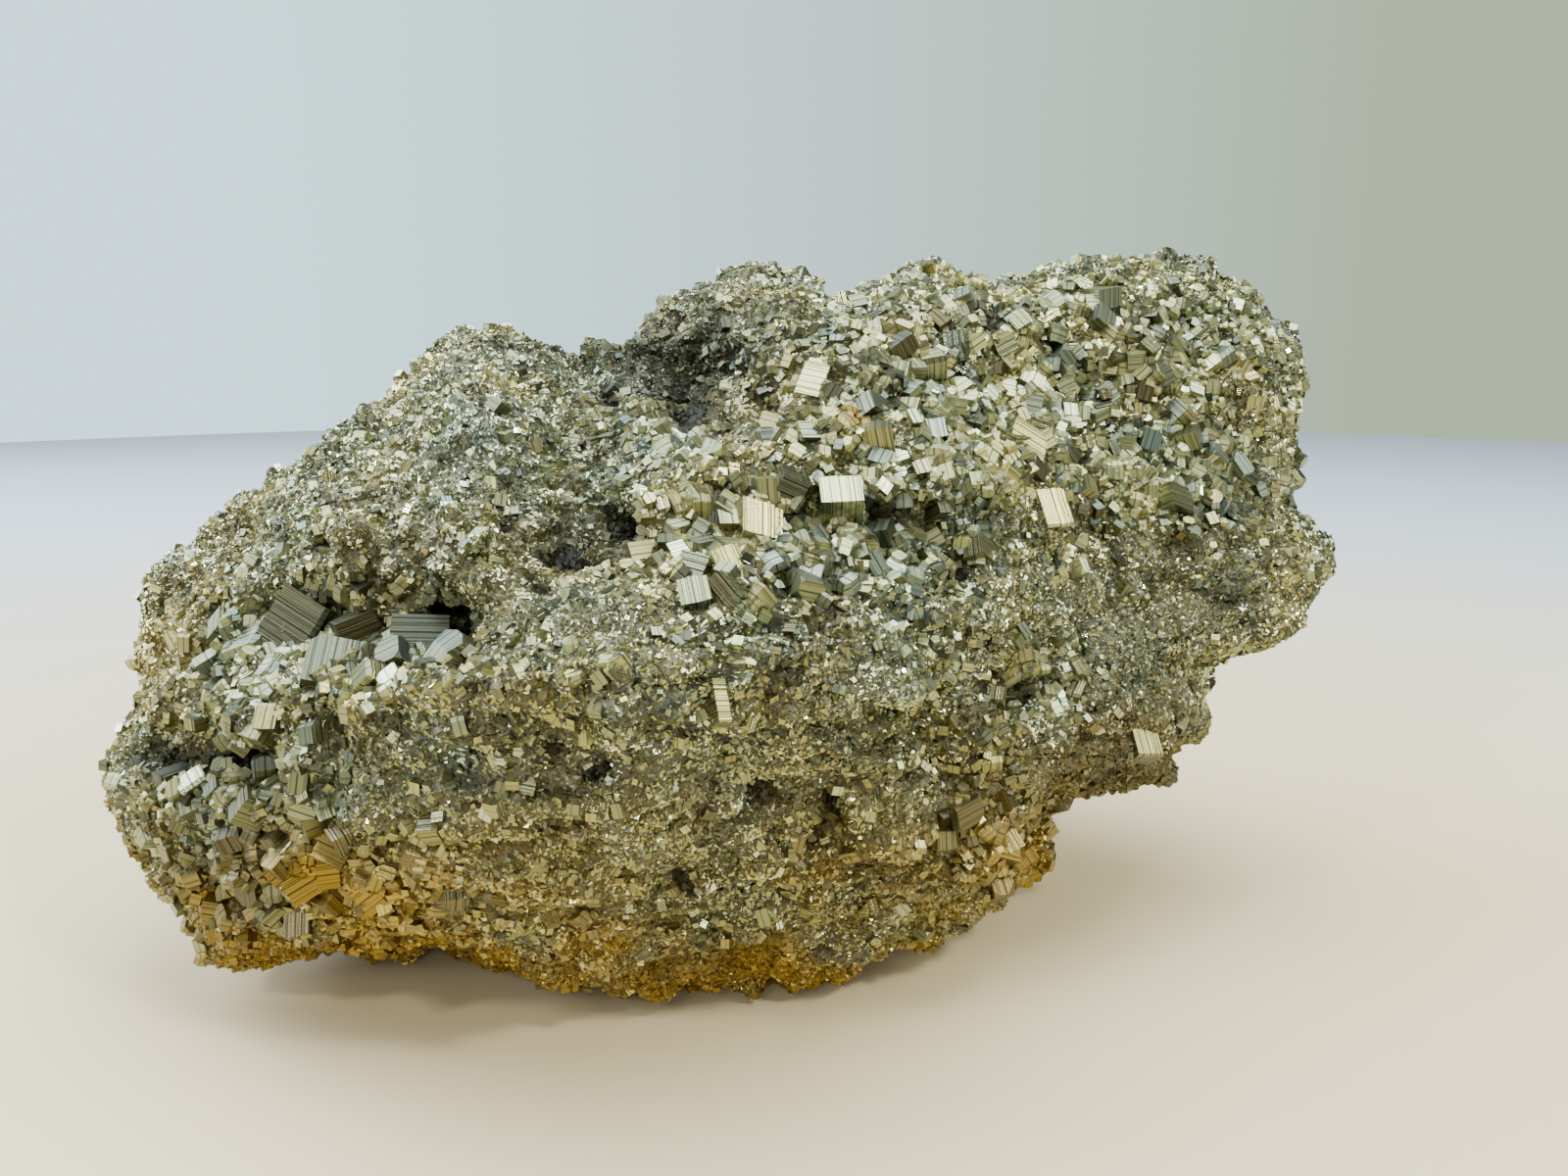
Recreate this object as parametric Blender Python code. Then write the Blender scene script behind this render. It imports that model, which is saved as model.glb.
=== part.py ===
"""A pyrite cluster: one piece of massive pyrite, with blocky crystals grown together all over it.

Run it with blender --background --python part.py, or from the text editor. Lengths are in metres with +Z up.
The stone rests on a small flat spot. The origin is under the middle of the stone's bounding box.
The stone is drawn from its girth, the closed line around it at its widest. The girth lies on a plane that leans
back, and the front and the back each rise from that plane as a dome with lumps and hollows.
"""

import math

import bmesh
import bpy
import numpy as np
from mathutils import Euler, Matrix, Vector

MM = 0.001
SEED = 7

# The girth plane: y = LEAN * z + SKEW * (x - TAPER_POINT x) + GIRTH_FOOT
LEAN = 0.55
SKEW = 0.08
GIRTH_FOOT = -19.0 * MM

# Lines along which the front stands out all meet at this point, so the front narrows towards it
TAPER_POINT = Vector((3.5, -141.3, 73.5)) * MM
HUB = (-14.0 * MM, 42.0 * MM)

# Inside the girth the domes follow a softer outline, made of this many waves around the hub. RIM_POWER sets how
# near to the girth they turn to its real corners, and how near to it the lumps and hollows fade out
SOFT_GIRTH_STEPS = 360
SOFT_GIRTH_WAVES = 3
RIM_POWER = 6

FRONT_DEPTH = 44.0 * MM
BACK_DEPTH = 36.0 * MM
# Roundness of the domes: 1 is a parabola, 2 an ellipse. The front is flatter above the hub and fuller below it
FRONT_ROUND = 1.55
FRONT_ROUND_CHANGE = 0.25
BACK_ROUND = 1.7
# The back stands out almost level at the top and falls off more and more towards the foot, by this much for each
# mm that it goes back
BACK_FALL_TOP = 0.1
BACK_FALL_FOOT = 0.55
STONE_HEIGHT = 86.0 * MM

# Outline of the girth as x and z in mm, anticlockwise from the tip of the right lobe
GIRTH = (
    (76.5, 44.5), (76.5, 47.5), (75, 50), (72.5, 52.5), (74.5, 57.5), (74, 60), (75.5, 63.5), (76, 70),
    (76, 75), (72.5, 77.5), (67.5, 81.5), (65, 85.5), (58, 86.5), (52, 85.5), (45, 83.5), (39, 82),
    (35, 81.5), (31, 82), (27.5, 83.5), (23.5, 84), (17, 81.5), (13, 81), (10, 79.5), (8, 81.5),
    (3.5, 83), (-2, 83.5), (-6, 82.5), (-10, 80), (-14.5, 76.5), (-17.5, 73.5), (-22, 71.5),
    (-23.5, 69.5), (-26, 71.5), (-29, 73.5), (-33, 75.5), (-38, 75.5), (-44, 73.5), (-46.5, 69.5),
    (-48.5, 66.5), (-54.5, 62.5), (-58.5, 57.5), (-65.5, 55), (-69.5, 50), (-73, 47.5), (-76, 43),
    (-74, 34), (-75.5, 28.5), (-75.5, 23), (-75, 20), (-72, 16), (-69.5, 12.5), (-65, 9), (-61.5, 6),
    (-51.5, 5), (-46.5, 6), (-37.5, 5.5), (-30, 4), (-23, 2), (-18.5, 1), (-7.5, 0), (3.5, 0),
    (11.5, 1.5), (17, 4), (24.5, 6), (29, 7), (33.5, 11.5), (35, 13), (35.5, 16.5), (39.5, 18.5),
    (49.5, 19.5), (52.5, 20.5), (52.5, 23.5), (57.5, 25.5), (58, 30.5), (59, 32.5), (65.5, 35),
    (71.5, 38), (75, 41.5),
)

# Lumps (+) and hollows (-) on the front: x, z, half width, half height, rise, all in mm
FRONT_RELIEF = {
    "right flank falls back": (47, 44, 24, 30, -11),
    "left ridge, top": (-36, 66, 10, 9, 7),
    "left ridge, middle": (-53, 54, 9, 6, 6),
    "left ridge, foot": (-66, 45, 8, 5, 4),
    "dip along the left ridge": (-45, 61, 3, 5, -3),
    "second dip along the ridge": (-60, 51, 3, 4, -2),
    "gully at the notch": (-22.5, 66, 4, 7, -8),
    "gully, middle": (-26, 55, 6, 5, -6),
    "gully, foot": (-31, 44, 5, 4, -4),
    "dark hollow": (-22.5, 49, 6, 4, -8),
    "lump beside the notch": (-15, 62, 6, 5, 5),
    "cave under the back lump": (-8, 68, 10, 5.5, -14),
    "cave, left side": (-17, 71, 6, 4, -7),
    "back lump": (-2, 79, 12, 5, 7),
    "cup of large crystals": (6, 58, 14, 7, -3),
    "vein": (1, 49, 14, 4, -3),
    "step under the vein table": (19, 50, 10, 3, -4),
    "dished upper slope": (37, 68, 20, 9, -6),
    "top right edge": (57, 82, 10, 4, 4),
    "hollow on the right slope": (26, 45.5, 4, 3, -4),
    "right lobe": (71, 46, 7, 5, 4),
    "hollow under the right lobe": (61, 35, 8, 4, -4),
    "hollow over the ledge": (32, 30, 6, 3, -5),
    "brow, right end": (-15, 36, 15, 8, 5),
    "brow, middle": (-39, 33, 14, 5, 7),
    "brow, left end": (-59, 31, 10, 4, 4),
    "trough behind the brow": (-50, 40, 14, 4.5, -9),
    "hole in the trough": (-36.5, 39, 4, 2.5, -9),
    "step in the cheek": (-67, 25.5, 9, 2.2, -5),
    "left cheek": (-63, 18, 11, 7, 4),
    "front belly": (-23, 16, 24, 10, 4),
    "pit under the brow": (-23, 24, 5, 2.5, -2.5),
    "pit in the belly": (1, 19, 3, 2.5, -3),
    "crack in the belly": (8, 15.5, 3, 4, -5),
    "foot of the crack": (-7, 11, 5, 2.5, -3),
    "groove right of the belly": (23, 24, 3, 9, -4),
}

# Lumps and hollows on the back, in the same way
BACK_RELIEF = {
    "back shoulder": (31, 60, 24, 14, 5),
    "back heel": (-29, 24, 22, 12, 8),
    "back gully": (-7, 52, 9, 22, -8),
    "left back lump": (-47, 50, 14, 12, 6),
    "right back hollow": (41, 34, 14, 10, -7),
    "ledge under the shoulder": (23, 44, 22, 4, 4),
    "pocket in the shoulder": (49, 66, 7, 6, -6),
    "pocket in the heel": (-35, 30, 8, 6, -6),
    "step in the heel": (-29, 16, 18, 3, -4),
    "foot to stand on": (6, 12, 24, 10, 7),
}

# Small lumps spread evenly over the whole stone: their count, reach as a share of the stone, and rise
KNOB_COUNT = 190
KNOB_REACH = (0.07, 0.26)
KNOB_RISE = 2.8 * MM
# The stone is an icosphere cut this fine, and each of its corners stands in or out by up to ROUGHNESS by itself,
# which gives it a broken, flat-faced skin
STONE_SUBDIVISIONS = 5
ROUGHNESS = 0.8 * MM

# Large crystals placed by eye: x, z on the front, edge lengths in mm, and turns about X, Y and Z in degrees
NAMED_CRYSTALS = {
    "vein cube": (-0.3, 50.4, (4.4, 4.0, 4.6), (56, 123, 90)),
    "vein cube, left": (-4.2, 46.0, (3.0, 3.0, 3.2), (-71, 62, -30)),
    "vein table": (11.2, 53.2, (4.6, 4.2, 4.2), (-86, -52, -90)),
    "vein blade": (-8.9, 46.0, (2.0, 2.0, 4.4), (-55, -12, 26)),
    "vein block, low": (-3.8, 42.4, (3.4, 3.2, 3.4), (-23, 40, -37)),
    "vein block, back": (4.4, 54.8, (3.2, 3.0, 3.4), (20, 24, 16)),
    "standing prism": (7.2, 68.0, (2.8, 2.8, 5.8), (-50, 12, -11)),
    "striped slab": (36.3, 60.0, (5.8, 3.4, 3.8), (-31, 30, 12)),
    "star plate": (39, 51.4, (4.6, 2.8, 4.0), (-90, 60, -62)),
    "upper block": (49.7, 73.6, (4.4, 3.8, 3.4), (26, 12, 30)),
    "right block": (55.6, 52.6, (4.4, 3.4, 3.2), (-28, 18, 34)),
    "trough block": (-56, 39.8, (6.0, 4.6, 6.6), (-22, 26, -19)),
    "trough slab": (-48.4, 38.6, (5.6, 4.2, 5.2), (-7, -15, 34)),
    "trough block, right": (-41, 38.6, (5.6, 3.8, 3.4), (-30, 4, 12)),
    "cheek cube": (-65.6, 22.7, (2.4, 2.4, 2.8), (-59, 16, -51)),
    "cheek block": (-59, 20.0, (3.2, 2.8, 3.0), (18, 34, 36)),
    "cheek block, low": (-49.1, 15.4, (3.4, 3.0, 3.2), (-30, 32, 8)),
    "heel block": (-52, 12.0, (3.4, 3.2, 3.0), (-18, -24, 28)),
    "ledge crystal": (51, 22.6, (3.4, 3.4, 3.4), (-101, 50, -79)),
    "ledge barrel": (30.4, 13.2, (3.8, 3.0, 2.8), (-30, 22, 18)),
    "belly finger": (-4.3, 29.5, (1.6, 1.8, 3.8), (-33, 10, 34)),
}

# Coarse patches: x, z, half width, half height of the patch in mm, how many crystals, and their mean edge in mm
FRONT_PATCHES = {
    "vein": (2, 48, 15, 7, 22, 2.3),
    "upper slope": (37, 68, 30, 13, 46, 2.6),
    "trough": (-53, 38, 16, 5, 14, 3.4),
    "cheek": (-61, 20, 11, 12, 18, 2.5),
    "heel": (-45, 12, 14, 5, 8, 2.5),
    "right ledge": (28, 15, 6, 6, 6, 2.8),
}
BACK_PATCHES = {
    "back shoulder": (35, 62, 26, 14, 15, 3.9),
    "back belly": (-33, 34, 26, 16, 15, 3.8),
    "back foot": (23, 22, 20, 10, 8, 3.4),
    "right end": (67, 56, 5, 16, 6, 3.2),
    "left end": (-67, 32, 5, 14, 6, 3.2),
}
# A crystal is larger or smaller than its patch's mean by up to SIZE_SPREAD, and each of its edges by up to
# EDGE_SPREAD more
SIZE_SPREAD = 0.4
EDGE_SPREAD = 0.2
# A block looks the same again after this turn, in degrees, so each patch crystal is turned by less
MOST_TURN = 90.0
# The turn from one crystal of a patch to the next, which spreads them evenly
GOLDEN_ANGLE = math.radians(137.5)
# A crystal's middle lies this share of its shortest edge inside the stone. The ones of a patch are sunk deeper
NAMED_SUNK = 0.25
PATCH_SUNK = 0.4
# No crystal's middle is nearer to the girth than this share of the way out from the hub
MOST_CRYSTAL_SHARE = 0.94
# How far to each side, in radians seen from the hub, the stone is read to find which way its surface faces
NORMAL_STEP = 0.05

GROUND_WIDTH = 300.0 * MM
GROUND_DEPTH = 12.0 * MM

# Linear colour and roughness of the metal
PYRITE_COLOUR = (0.36, 0.32, 0.21, 1.0)
PYRITE_ROUGHNESS = 0.34


def clear_scene():
    """Removes every object, so that only the cluster is left."""
    for obj in list(bpy.data.objects):
        bpy.data.objects.remove(obj, do_unlink=True)


def girth_radius(angle):
    """Distance from the hub to the girth at each angle, with an even change between the points of GIRTH."""
    outline = np.array(GIRTH) * MM - np.array(HUB)
    outline_angle = np.arctan2(outline[:, 1], outline[:, 0])
    outline_radius = np.hypot(outline[:, 0], outline[:, 1])
    return np.interp(angle, outline_angle, outline_radius, period=2 * math.pi)


def soft_girth_radius(angle):
    """The girth's radius without its corners: its mean and its first few waves around the hub."""
    steps = np.arange(SOFT_GIRTH_STEPS) * (2 * math.pi / SOFT_GIRTH_STEPS)
    radius = girth_radius(steps)
    soft = np.full_like(angle, radius.mean())
    for wave in range(1, SOFT_GIRTH_WAVES + 1):
        soft += 2 * (radius * np.cos(wave * steps)).mean() * np.cos(wave * angle)
        soft += 2 * (radius * np.sin(wave * steps)).mean() * np.sin(wave * angle)
    return soft


def relief(table, x, z):
    """Sum of smooth bumps, each falling off with the square of the distance from its middle."""
    rise = np.zeros_like(x)
    for middle_x, middle_z, half_width, half_height, height in table.values():
        across = (x / MM - middle_x) / half_width
        along = (z / MM - middle_z) / half_height
        rise += height * MM * np.exp(-(across**2) - along**2)
    return rise


def knobs(directions):
    """Small lumps, each a smooth cap about a random direction from the hub."""
    rng = np.random.default_rng(SEED)
    centres = rng.normal(size=(KNOB_COUNT, 3))
    centres /= np.linalg.norm(centres, axis=1, keepdims=True)
    reach = rng.uniform(*KNOB_REACH, KNOB_COUNT)
    rise = rng.uniform(-1.0, 1.0, KNOB_COUNT) * KNOB_RISE
    distance_squared = 2.0 - 2.0 * directions @ centres.T
    return (rise * np.exp(-distance_squared / reach**2)).sum(axis=1)


def stone_surface(directions):
    """Points of the stone in the given directions: x to the right, y to the back and z up.

    A direction's angle about the Y axis picks a point of the girth, and its share sideways gives how far out from
    the hub it lies. The point then moves off the girth plane, to the front or the back, by a rounded dome. The
    dome follows the corners of the girth only near the girth, and is soft further in.
    """
    directions = directions / np.linalg.norm(directions, axis=1, keepdims=True)
    angle = np.arctan2(directions[:, 2], directions[:, 0])
    share = np.hypot(directions[:, 0], directions[:, 2])
    girth = girth_radius(angle)
    x = HUB[0] + girth * share * np.cos(angle)
    z = HUB[1] + girth * share * np.sin(angle)
    y = LEAN * z + SKEW * (x - TAPER_POINT.x) + GIRTH_FOOT
    points = np.stack([x, y, z], axis=-1)

    edge_fade = 1.0 - share**RIM_POWER
    height_share = share * (girth / soft_girth_radius(angle)) ** edge_fade
    dome = (1.0 - height_share**2).clip(0.0)
    knob_rise = edge_fade * knobs(directions)
    is_front = directions[:, 1] < 0.0

    front_round = FRONT_ROUND - FRONT_ROUND_CHANGE * np.sin(angle)
    front_relief = edge_fade * relief(FRONT_RELIEF, x, z)
    front_rise = FRONT_DEPTH * dome ** (1.0 / front_round) + front_relief + knob_rise
    to_taper = np.array(TAPER_POINT) - points
    to_taper /= np.linalg.norm(to_taper, axis=1, keepdims=True)

    back_relief = edge_fade * relief(BACK_RELIEF, x, z)
    back_rise = BACK_DEPTH * dome ** (1.0 / BACK_ROUND) + back_relief + knob_rise
    fall = BACK_FALL_FOOT + (BACK_FALL_TOP - BACK_FALL_FOOT) * z / STONE_HEIGHT
    to_back = np.stack([np.zeros_like(fall), np.ones_like(fall), -fall], axis=-1)
    moved = np.where(is_front[:, None], to_taper * front_rise[:, None], to_back * back_rise[:, None])
    return points + moved


def direction_at(x, z, front=True):
    """The direction from the hub whose point on the girth plane is x, z, towards the front or the back."""
    offset = np.array([x, z]) * MM - np.array(HUB)
    angle = math.atan2(offset[1], offset[0])
    share = min(np.linalg.norm(offset) / girth_radius(angle), MOST_CRYSTAL_SHARE)
    depth = math.sqrt(1.0 - share**2)
    return np.array([share * math.cos(angle), -depth if front else depth, share * math.sin(angle)])


def outward(direction):
    """Unit normal of the stone at a direction, from four directions around it."""
    least_axis = np.eye(3)[np.argmin(np.abs(direction))]
    side = np.cross(direction, least_axis)
    side *= NORMAL_STEP / np.linalg.norm(side)
    other = np.cross(direction, side)
    around = stone_surface(np.array([direction + side, direction - side, direction + other, direction - other]))
    normal = np.cross(around[0] - around[1], around[2] - around[3])
    normal /= np.linalg.norm(normal)
    return normal if normal @ direction > 0 else -normal


def make_material():
    """Pyrite: a pale brassy metal with a dull greenish grey cast."""
    material = bpy.data.materials.new("pyrite")
    material.use_nodes = True
    shader = material.node_tree.nodes["Principled BSDF"]
    shader.inputs["Base Color"].default_value = PYRITE_COLOUR
    shader.inputs["Metallic"].default_value = 1.0
    shader.inputs["Roughness"].default_value = PYRITE_ROUGHNESS
    return material


def make_stone():
    """The massive body of the cluster: a sphere of even triangles, each corner moved onto the stone's surface."""
    mesh = bpy.data.meshes.new("pyrite_cluster")
    body = bmesh.new()
    bmesh.ops.create_icosphere(body, subdivisions=STONE_SUBDIVISIONS, radius=1.0)
    directions = np.array([corner.co for corner in body.verts])
    rng = np.random.default_rng(SEED)
    skin = rng.uniform(-ROUGHNESS, ROUGHNESS, len(directions))
    places = stone_surface(directions) + directions * skin[:, None]
    for corner, place in zip(body.verts, places):
        corner.co = place
    bmesh.ops.recalc_face_normals(body, faces=body.faces)
    body.to_mesh(mesh)
    body.free()
    stone = bpy.data.objects.new("pyrite_cluster", mesh)
    bpy.context.scene.collection.objects.link(stone)
    stone.data.materials.append(make_material())
    return stone


def add_crystal(collection, name, direction, edges, turns, sunk):
    """A block with square corners, its middle a little inside the stone's surface."""
    surface = stone_surface(direction[None, :])[0]
    normal = outward(direction)
    depth = sunk * min(edges) * MM
    block = bmesh.new()
    bmesh.ops.create_cube(block, size=1.0)
    size = Matrix.Diagonal(Vector(edges) * MM).to_4x4()
    turn = Euler([math.radians(degrees) for degrees in turns]).to_matrix().to_4x4()
    place = Matrix.Translation(Vector(surface - normal * depth))
    block.transform(place @ turn @ size)
    mesh = bpy.data.meshes.new(name)
    block.to_mesh(mesh)
    block.free()
    crystal = bpy.data.objects.new(name, mesh)
    crystal.hide_render = True
    crystal.display_type = "WIRE"
    collection.objects.link(crystal)
    return crystal


def patch_crystals(collection, table, front, rng):
    """Crystals of a patch: spread evenly over an ellipse, each with its own size and turn."""
    for name, (x, z, half_width, half_height, count, mean_edge) in table.items():
        for number in range(count):
            radius = math.sqrt((number + 0.5) / count)
            angle = number * GOLDEN_ANGLE
            direction = direction_at(
                x + half_width * radius * math.cos(angle), z + half_height * radius * math.sin(angle), front
            )
            edge = mean_edge * rng.uniform(1.0 - SIZE_SPREAD, 1.0 + SIZE_SPREAD)
            edges = edge * rng.uniform(1.0 - EDGE_SPREAD, 1.0 + EDGE_SPREAD, 3)
            turns = rng.uniform(0.0, MOST_TURN, 3)
            add_crystal(collection, f"{name} crystal {number}", direction, edges, turns, PATCH_SUNK)


def make_crystals():
    """All the large crystals, as helpers in a collection of their own."""
    collection = bpy.data.collections.new("crystals")
    collection.hide_render = True
    bpy.context.scene.collection.children.link(collection)
    rng = np.random.default_rng(SEED + 1)
    for name, (x, z, edges, turns) in NAMED_CRYSTALS.items():
        add_crystal(collection, name, direction_at(x, z), edges, turns, NAMED_SUNK)
    patch_crystals(collection, FRONT_PATCHES, True, rng)
    patch_crystals(collection, BACK_PATCHES, False, rng)
    return collection


def make_ground_cutter():
    """A block whose top is the surface the stone rests on: cutting with it leaves the small flat spot."""
    mesh = bpy.data.meshes.new("ground_cutter")
    block = bmesh.new()
    bmesh.ops.create_cube(block, size=1.0)
    size = Matrix.Diagonal((GROUND_WIDTH, GROUND_WIDTH, GROUND_DEPTH)).to_4x4()
    block.transform(Matrix.Translation((0.0, 0.0, -GROUND_DEPTH / 2)) @ size)
    block.to_mesh(mesh)
    block.free()
    cutter = bpy.data.objects.new("ground_cutter", mesh)
    cutter.hide_render = True
    cutter.display_type = "WIRE"
    bpy.context.scene.collection.objects.link(cutter)
    return cutter


def main():
    clear_scene()
    stone = make_stone()
    grown = stone.modifiers.new("crystals grown on", "BOOLEAN")
    grown.operation = "UNION"
    grown.operand_type = "COLLECTION"
    grown.collection = make_crystals()
    grown.solver = "EXACT"
    rest = stone.modifiers.new("flat spot", "BOOLEAN")
    rest.operation = "DIFFERENCE"
    rest.object = make_ground_cutter()
    rest.solver = "EXACT"


main()
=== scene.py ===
"""Looks of the pyrite cluster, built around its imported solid: the crystals and grains that cover the stone,
the colour and polish of the pyrite, and a plain studio to see it in.

Lengths are in metres with +Z up, and the front faces -Y. The stone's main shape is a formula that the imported
solid was made from too. Here it carries finer lumps and pits, and thousands of crystals grow out of it.
"""

import itertools
import math
from collections import namedtuple

import bpy
import numpy as np
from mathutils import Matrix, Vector


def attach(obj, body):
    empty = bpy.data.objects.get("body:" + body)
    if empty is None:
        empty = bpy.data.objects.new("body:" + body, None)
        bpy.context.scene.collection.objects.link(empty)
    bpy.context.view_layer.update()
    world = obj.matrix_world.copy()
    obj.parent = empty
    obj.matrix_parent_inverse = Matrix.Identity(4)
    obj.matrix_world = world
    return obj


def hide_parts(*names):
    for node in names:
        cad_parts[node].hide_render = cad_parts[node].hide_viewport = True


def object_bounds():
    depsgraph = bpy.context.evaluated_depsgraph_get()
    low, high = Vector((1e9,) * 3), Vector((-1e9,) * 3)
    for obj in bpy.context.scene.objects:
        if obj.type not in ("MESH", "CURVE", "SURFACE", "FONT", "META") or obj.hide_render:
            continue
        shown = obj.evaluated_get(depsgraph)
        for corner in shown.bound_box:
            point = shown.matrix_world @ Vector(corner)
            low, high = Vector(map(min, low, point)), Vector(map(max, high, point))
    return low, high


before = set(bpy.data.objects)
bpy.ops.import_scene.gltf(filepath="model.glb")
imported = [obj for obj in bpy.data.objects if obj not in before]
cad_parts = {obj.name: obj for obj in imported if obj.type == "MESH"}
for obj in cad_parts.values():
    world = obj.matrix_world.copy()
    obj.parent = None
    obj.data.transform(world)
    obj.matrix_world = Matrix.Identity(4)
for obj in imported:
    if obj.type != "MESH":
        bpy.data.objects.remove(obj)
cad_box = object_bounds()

MM = 0.001
SEED = 7

# Shape of the stone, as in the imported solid

# The girth, the line around the stone at its widest, lies on a plane that leans back:
# y = LEAN * z + SKEW * (x - TAPER_POINT x) + GIRTH_FOOT
LEAN = 0.55
SKEW = 0.08
GIRTH_FOOT = -19.0 * MM
# Lines along which the front stands out all meet at this point, so the front narrows towards it
TAPER_POINT = Vector((3.5, -141.3, 73.5)) * MM
# The place on the girth plane that directions are measured from, as x and z
HUB = (-14.0 * MM, 42.0 * MM)
# Inside the girth the domes follow a softer outline, made of this many waves around the hub. RIM_POWER sets
# how near to the girth they turn to its real corners, and how near to it the lumps and hollows fade out
SOFT_GIRTH_STEPS = 360
SOFT_GIRTH_WAVES = 3
RIM_POWER = 6
FRONT_DEPTH = 44.0 * MM
BACK_DEPTH = 36.0 * MM
# Roundness of the domes: 1 is a parabola, 2 an ellipse. The front is flatter above the hub and fuller below
FRONT_ROUND = 1.55
FRONT_ROUND_CHANGE = 0.25
BACK_ROUND = 1.7
# The back stands out almost level at the top and falls off more and more towards the foot, by this much for
# each mm that it goes back
BACK_FALL_TOP = 0.1
BACK_FALL_FOOT = 0.55
STONE_HEIGHT = 86.0 * MM

# Outline of the girth as x and z in mm, anticlockwise from the tip of the right lobe
GIRTH = (
    (76.5, 44.5), (76.5, 47.5), (75, 50), (72.5, 52.5), (74.5, 57.5), (74, 60), (75.5, 63.5), (76, 70),
    (76, 75), (72.5, 77.5), (67.5, 81.5), (65, 85.5), (58, 86.5), (52, 85.5), (45, 83.5), (39, 82),
    (35, 81.5), (31, 82), (27.5, 83.5), (23.5, 84), (17, 81.5), (13, 81), (10, 79.5), (8, 81.5),
    (3.5, 83), (-2, 83.5), (-6, 82.5), (-10, 80), (-14.5, 76.5), (-17.5, 73.5), (-22, 71.5),
    (-23.5, 69.5), (-26, 71.5), (-29, 73.5), (-33, 75.5), (-38, 75.5), (-44, 73.5), (-46.5, 69.5),
    (-48.5, 66.5), (-54.5, 62.5), (-58.5, 57.5), (-65.5, 55), (-69.5, 50), (-73, 47.5), (-76, 43),
    (-74, 34), (-75.5, 28.5), (-75.5, 23), (-75, 20), (-72, 16), (-69.5, 12.5), (-65, 9), (-61.5, 6),
    (-51.5, 5), (-46.5, 6), (-37.5, 5.5), (-30, 4), (-23, 2), (-18.5, 1), (-7.5, 0), (3.5, 0),
    (11.5, 1.5), (17, 4), (24.5, 6), (29, 7), (33.5, 11.5), (35, 13), (35.5, 16.5), (39.5, 18.5),
    (49.5, 19.5), (52.5, 20.5), (52.5, 23.5), (57.5, 25.5), (58, 30.5), (59, 32.5), (65.5, 35),
    (71.5, 38), (75, 41.5),
)

# Lumps (+) and hollows (-) on the front: x, z, half width, half height, rise, all in mm
FRONT_RELIEF = {
    "right flank falls back": (47, 44, 24, 30, -11),
    "left ridge, top": (-36, 66, 10, 9, 7),
    "left ridge, middle": (-53, 54, 9, 6, 6),
    "left ridge, foot": (-66, 45, 8, 5, 4),
    "dip along the left ridge": (-45, 61, 3, 5, -3),
    "second dip along the ridge": (-60, 51, 3, 4, -2),
    "gully at the notch": (-22.5, 66, 4, 7, -8),
    "gully, middle": (-26, 55, 6, 5, -6),
    "gully, foot": (-31, 44, 5, 4, -4),
    "dark hollow": (-22.5, 49, 6, 4, -8),
    "lump beside the notch": (-15, 62, 6, 5, 5),
    "cave under the back lump": (-8, 68, 10, 5.5, -14),
    "cave, left side": (-17, 71, 6, 4, -7),
    "back lump": (-2, 79, 12, 5, 7),
    "cup of large crystals": (6, 58, 14, 7, -3),
    "vein": (1, 49, 14, 4, -3),
    "step under the vein table": (19, 50, 10, 3, -4),
    "dished upper slope": (37, 68, 20, 9, -6),
    "top right edge": (57, 82, 10, 4, 4),
    "hollow on the right slope": (26, 45.5, 4, 3, -4),
    "right lobe": (71, 46, 7, 5, 4),
    "hollow under the right lobe": (61, 35, 8, 4, -4),
    "hollow over the ledge": (32, 30, 6, 3, -5),
    "brow, right end": (-15, 36, 15, 8, 5),
    "brow, middle": (-39, 33, 14, 5, 7),
    "brow, left end": (-59, 31, 10, 4, 4),
    "trough behind the brow": (-50, 40, 14, 4.5, -9),
    "hole in the trough": (-36.5, 39, 4, 2.5, -9),
    "step in the cheek": (-67, 25.5, 9, 2.2, -5),
    "left cheek": (-63, 18, 11, 7, 4),
    "front belly": (-23, 16, 24, 10, 4),
    "pit under the brow": (-23, 24, 5, 2.5, -2.5),
    "pit in the belly": (1, 19, 3, 2.5, -3),
    "crack in the belly": (8, 15.5, 3, 4, -5),
    "foot of the crack": (-7, 11, 5, 2.5, -3),
    "groove right of the belly": (23, 24, 3, 9, -4),
}

# Lumps and hollows on the back, in the same way
BACK_RELIEF = {
    "back shoulder": (31, 60, 24, 14, 5),
    "back heel": (-29, 24, 22, 12, 8),
    "back gully": (-7, 52, 9, 22, -8),
    "left back lump": (-47, 50, 14, 12, 6),
    "right back hollow": (41, 34, 14, 10, -7),
    "ledge under the shoulder": (23, 44, 22, 4, 4),
    "pocket in the shoulder": (49, 66, 7, 6, -6),
    "pocket in the heel": (-35, 30, 8, 6, -6),
    "step in the heel": (-29, 16, 18, 3, -4),
    "foot to stand on": (6, 12, 24, 10, 7),
}

# Small lumps spread evenly over the whole stone: their count, reach as a share of the stone, and rise
KNOB_COUNT = 190
KNOB_REACH = (0.07, 0.26)
KNOB_RISE = 2.8 * MM

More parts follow.
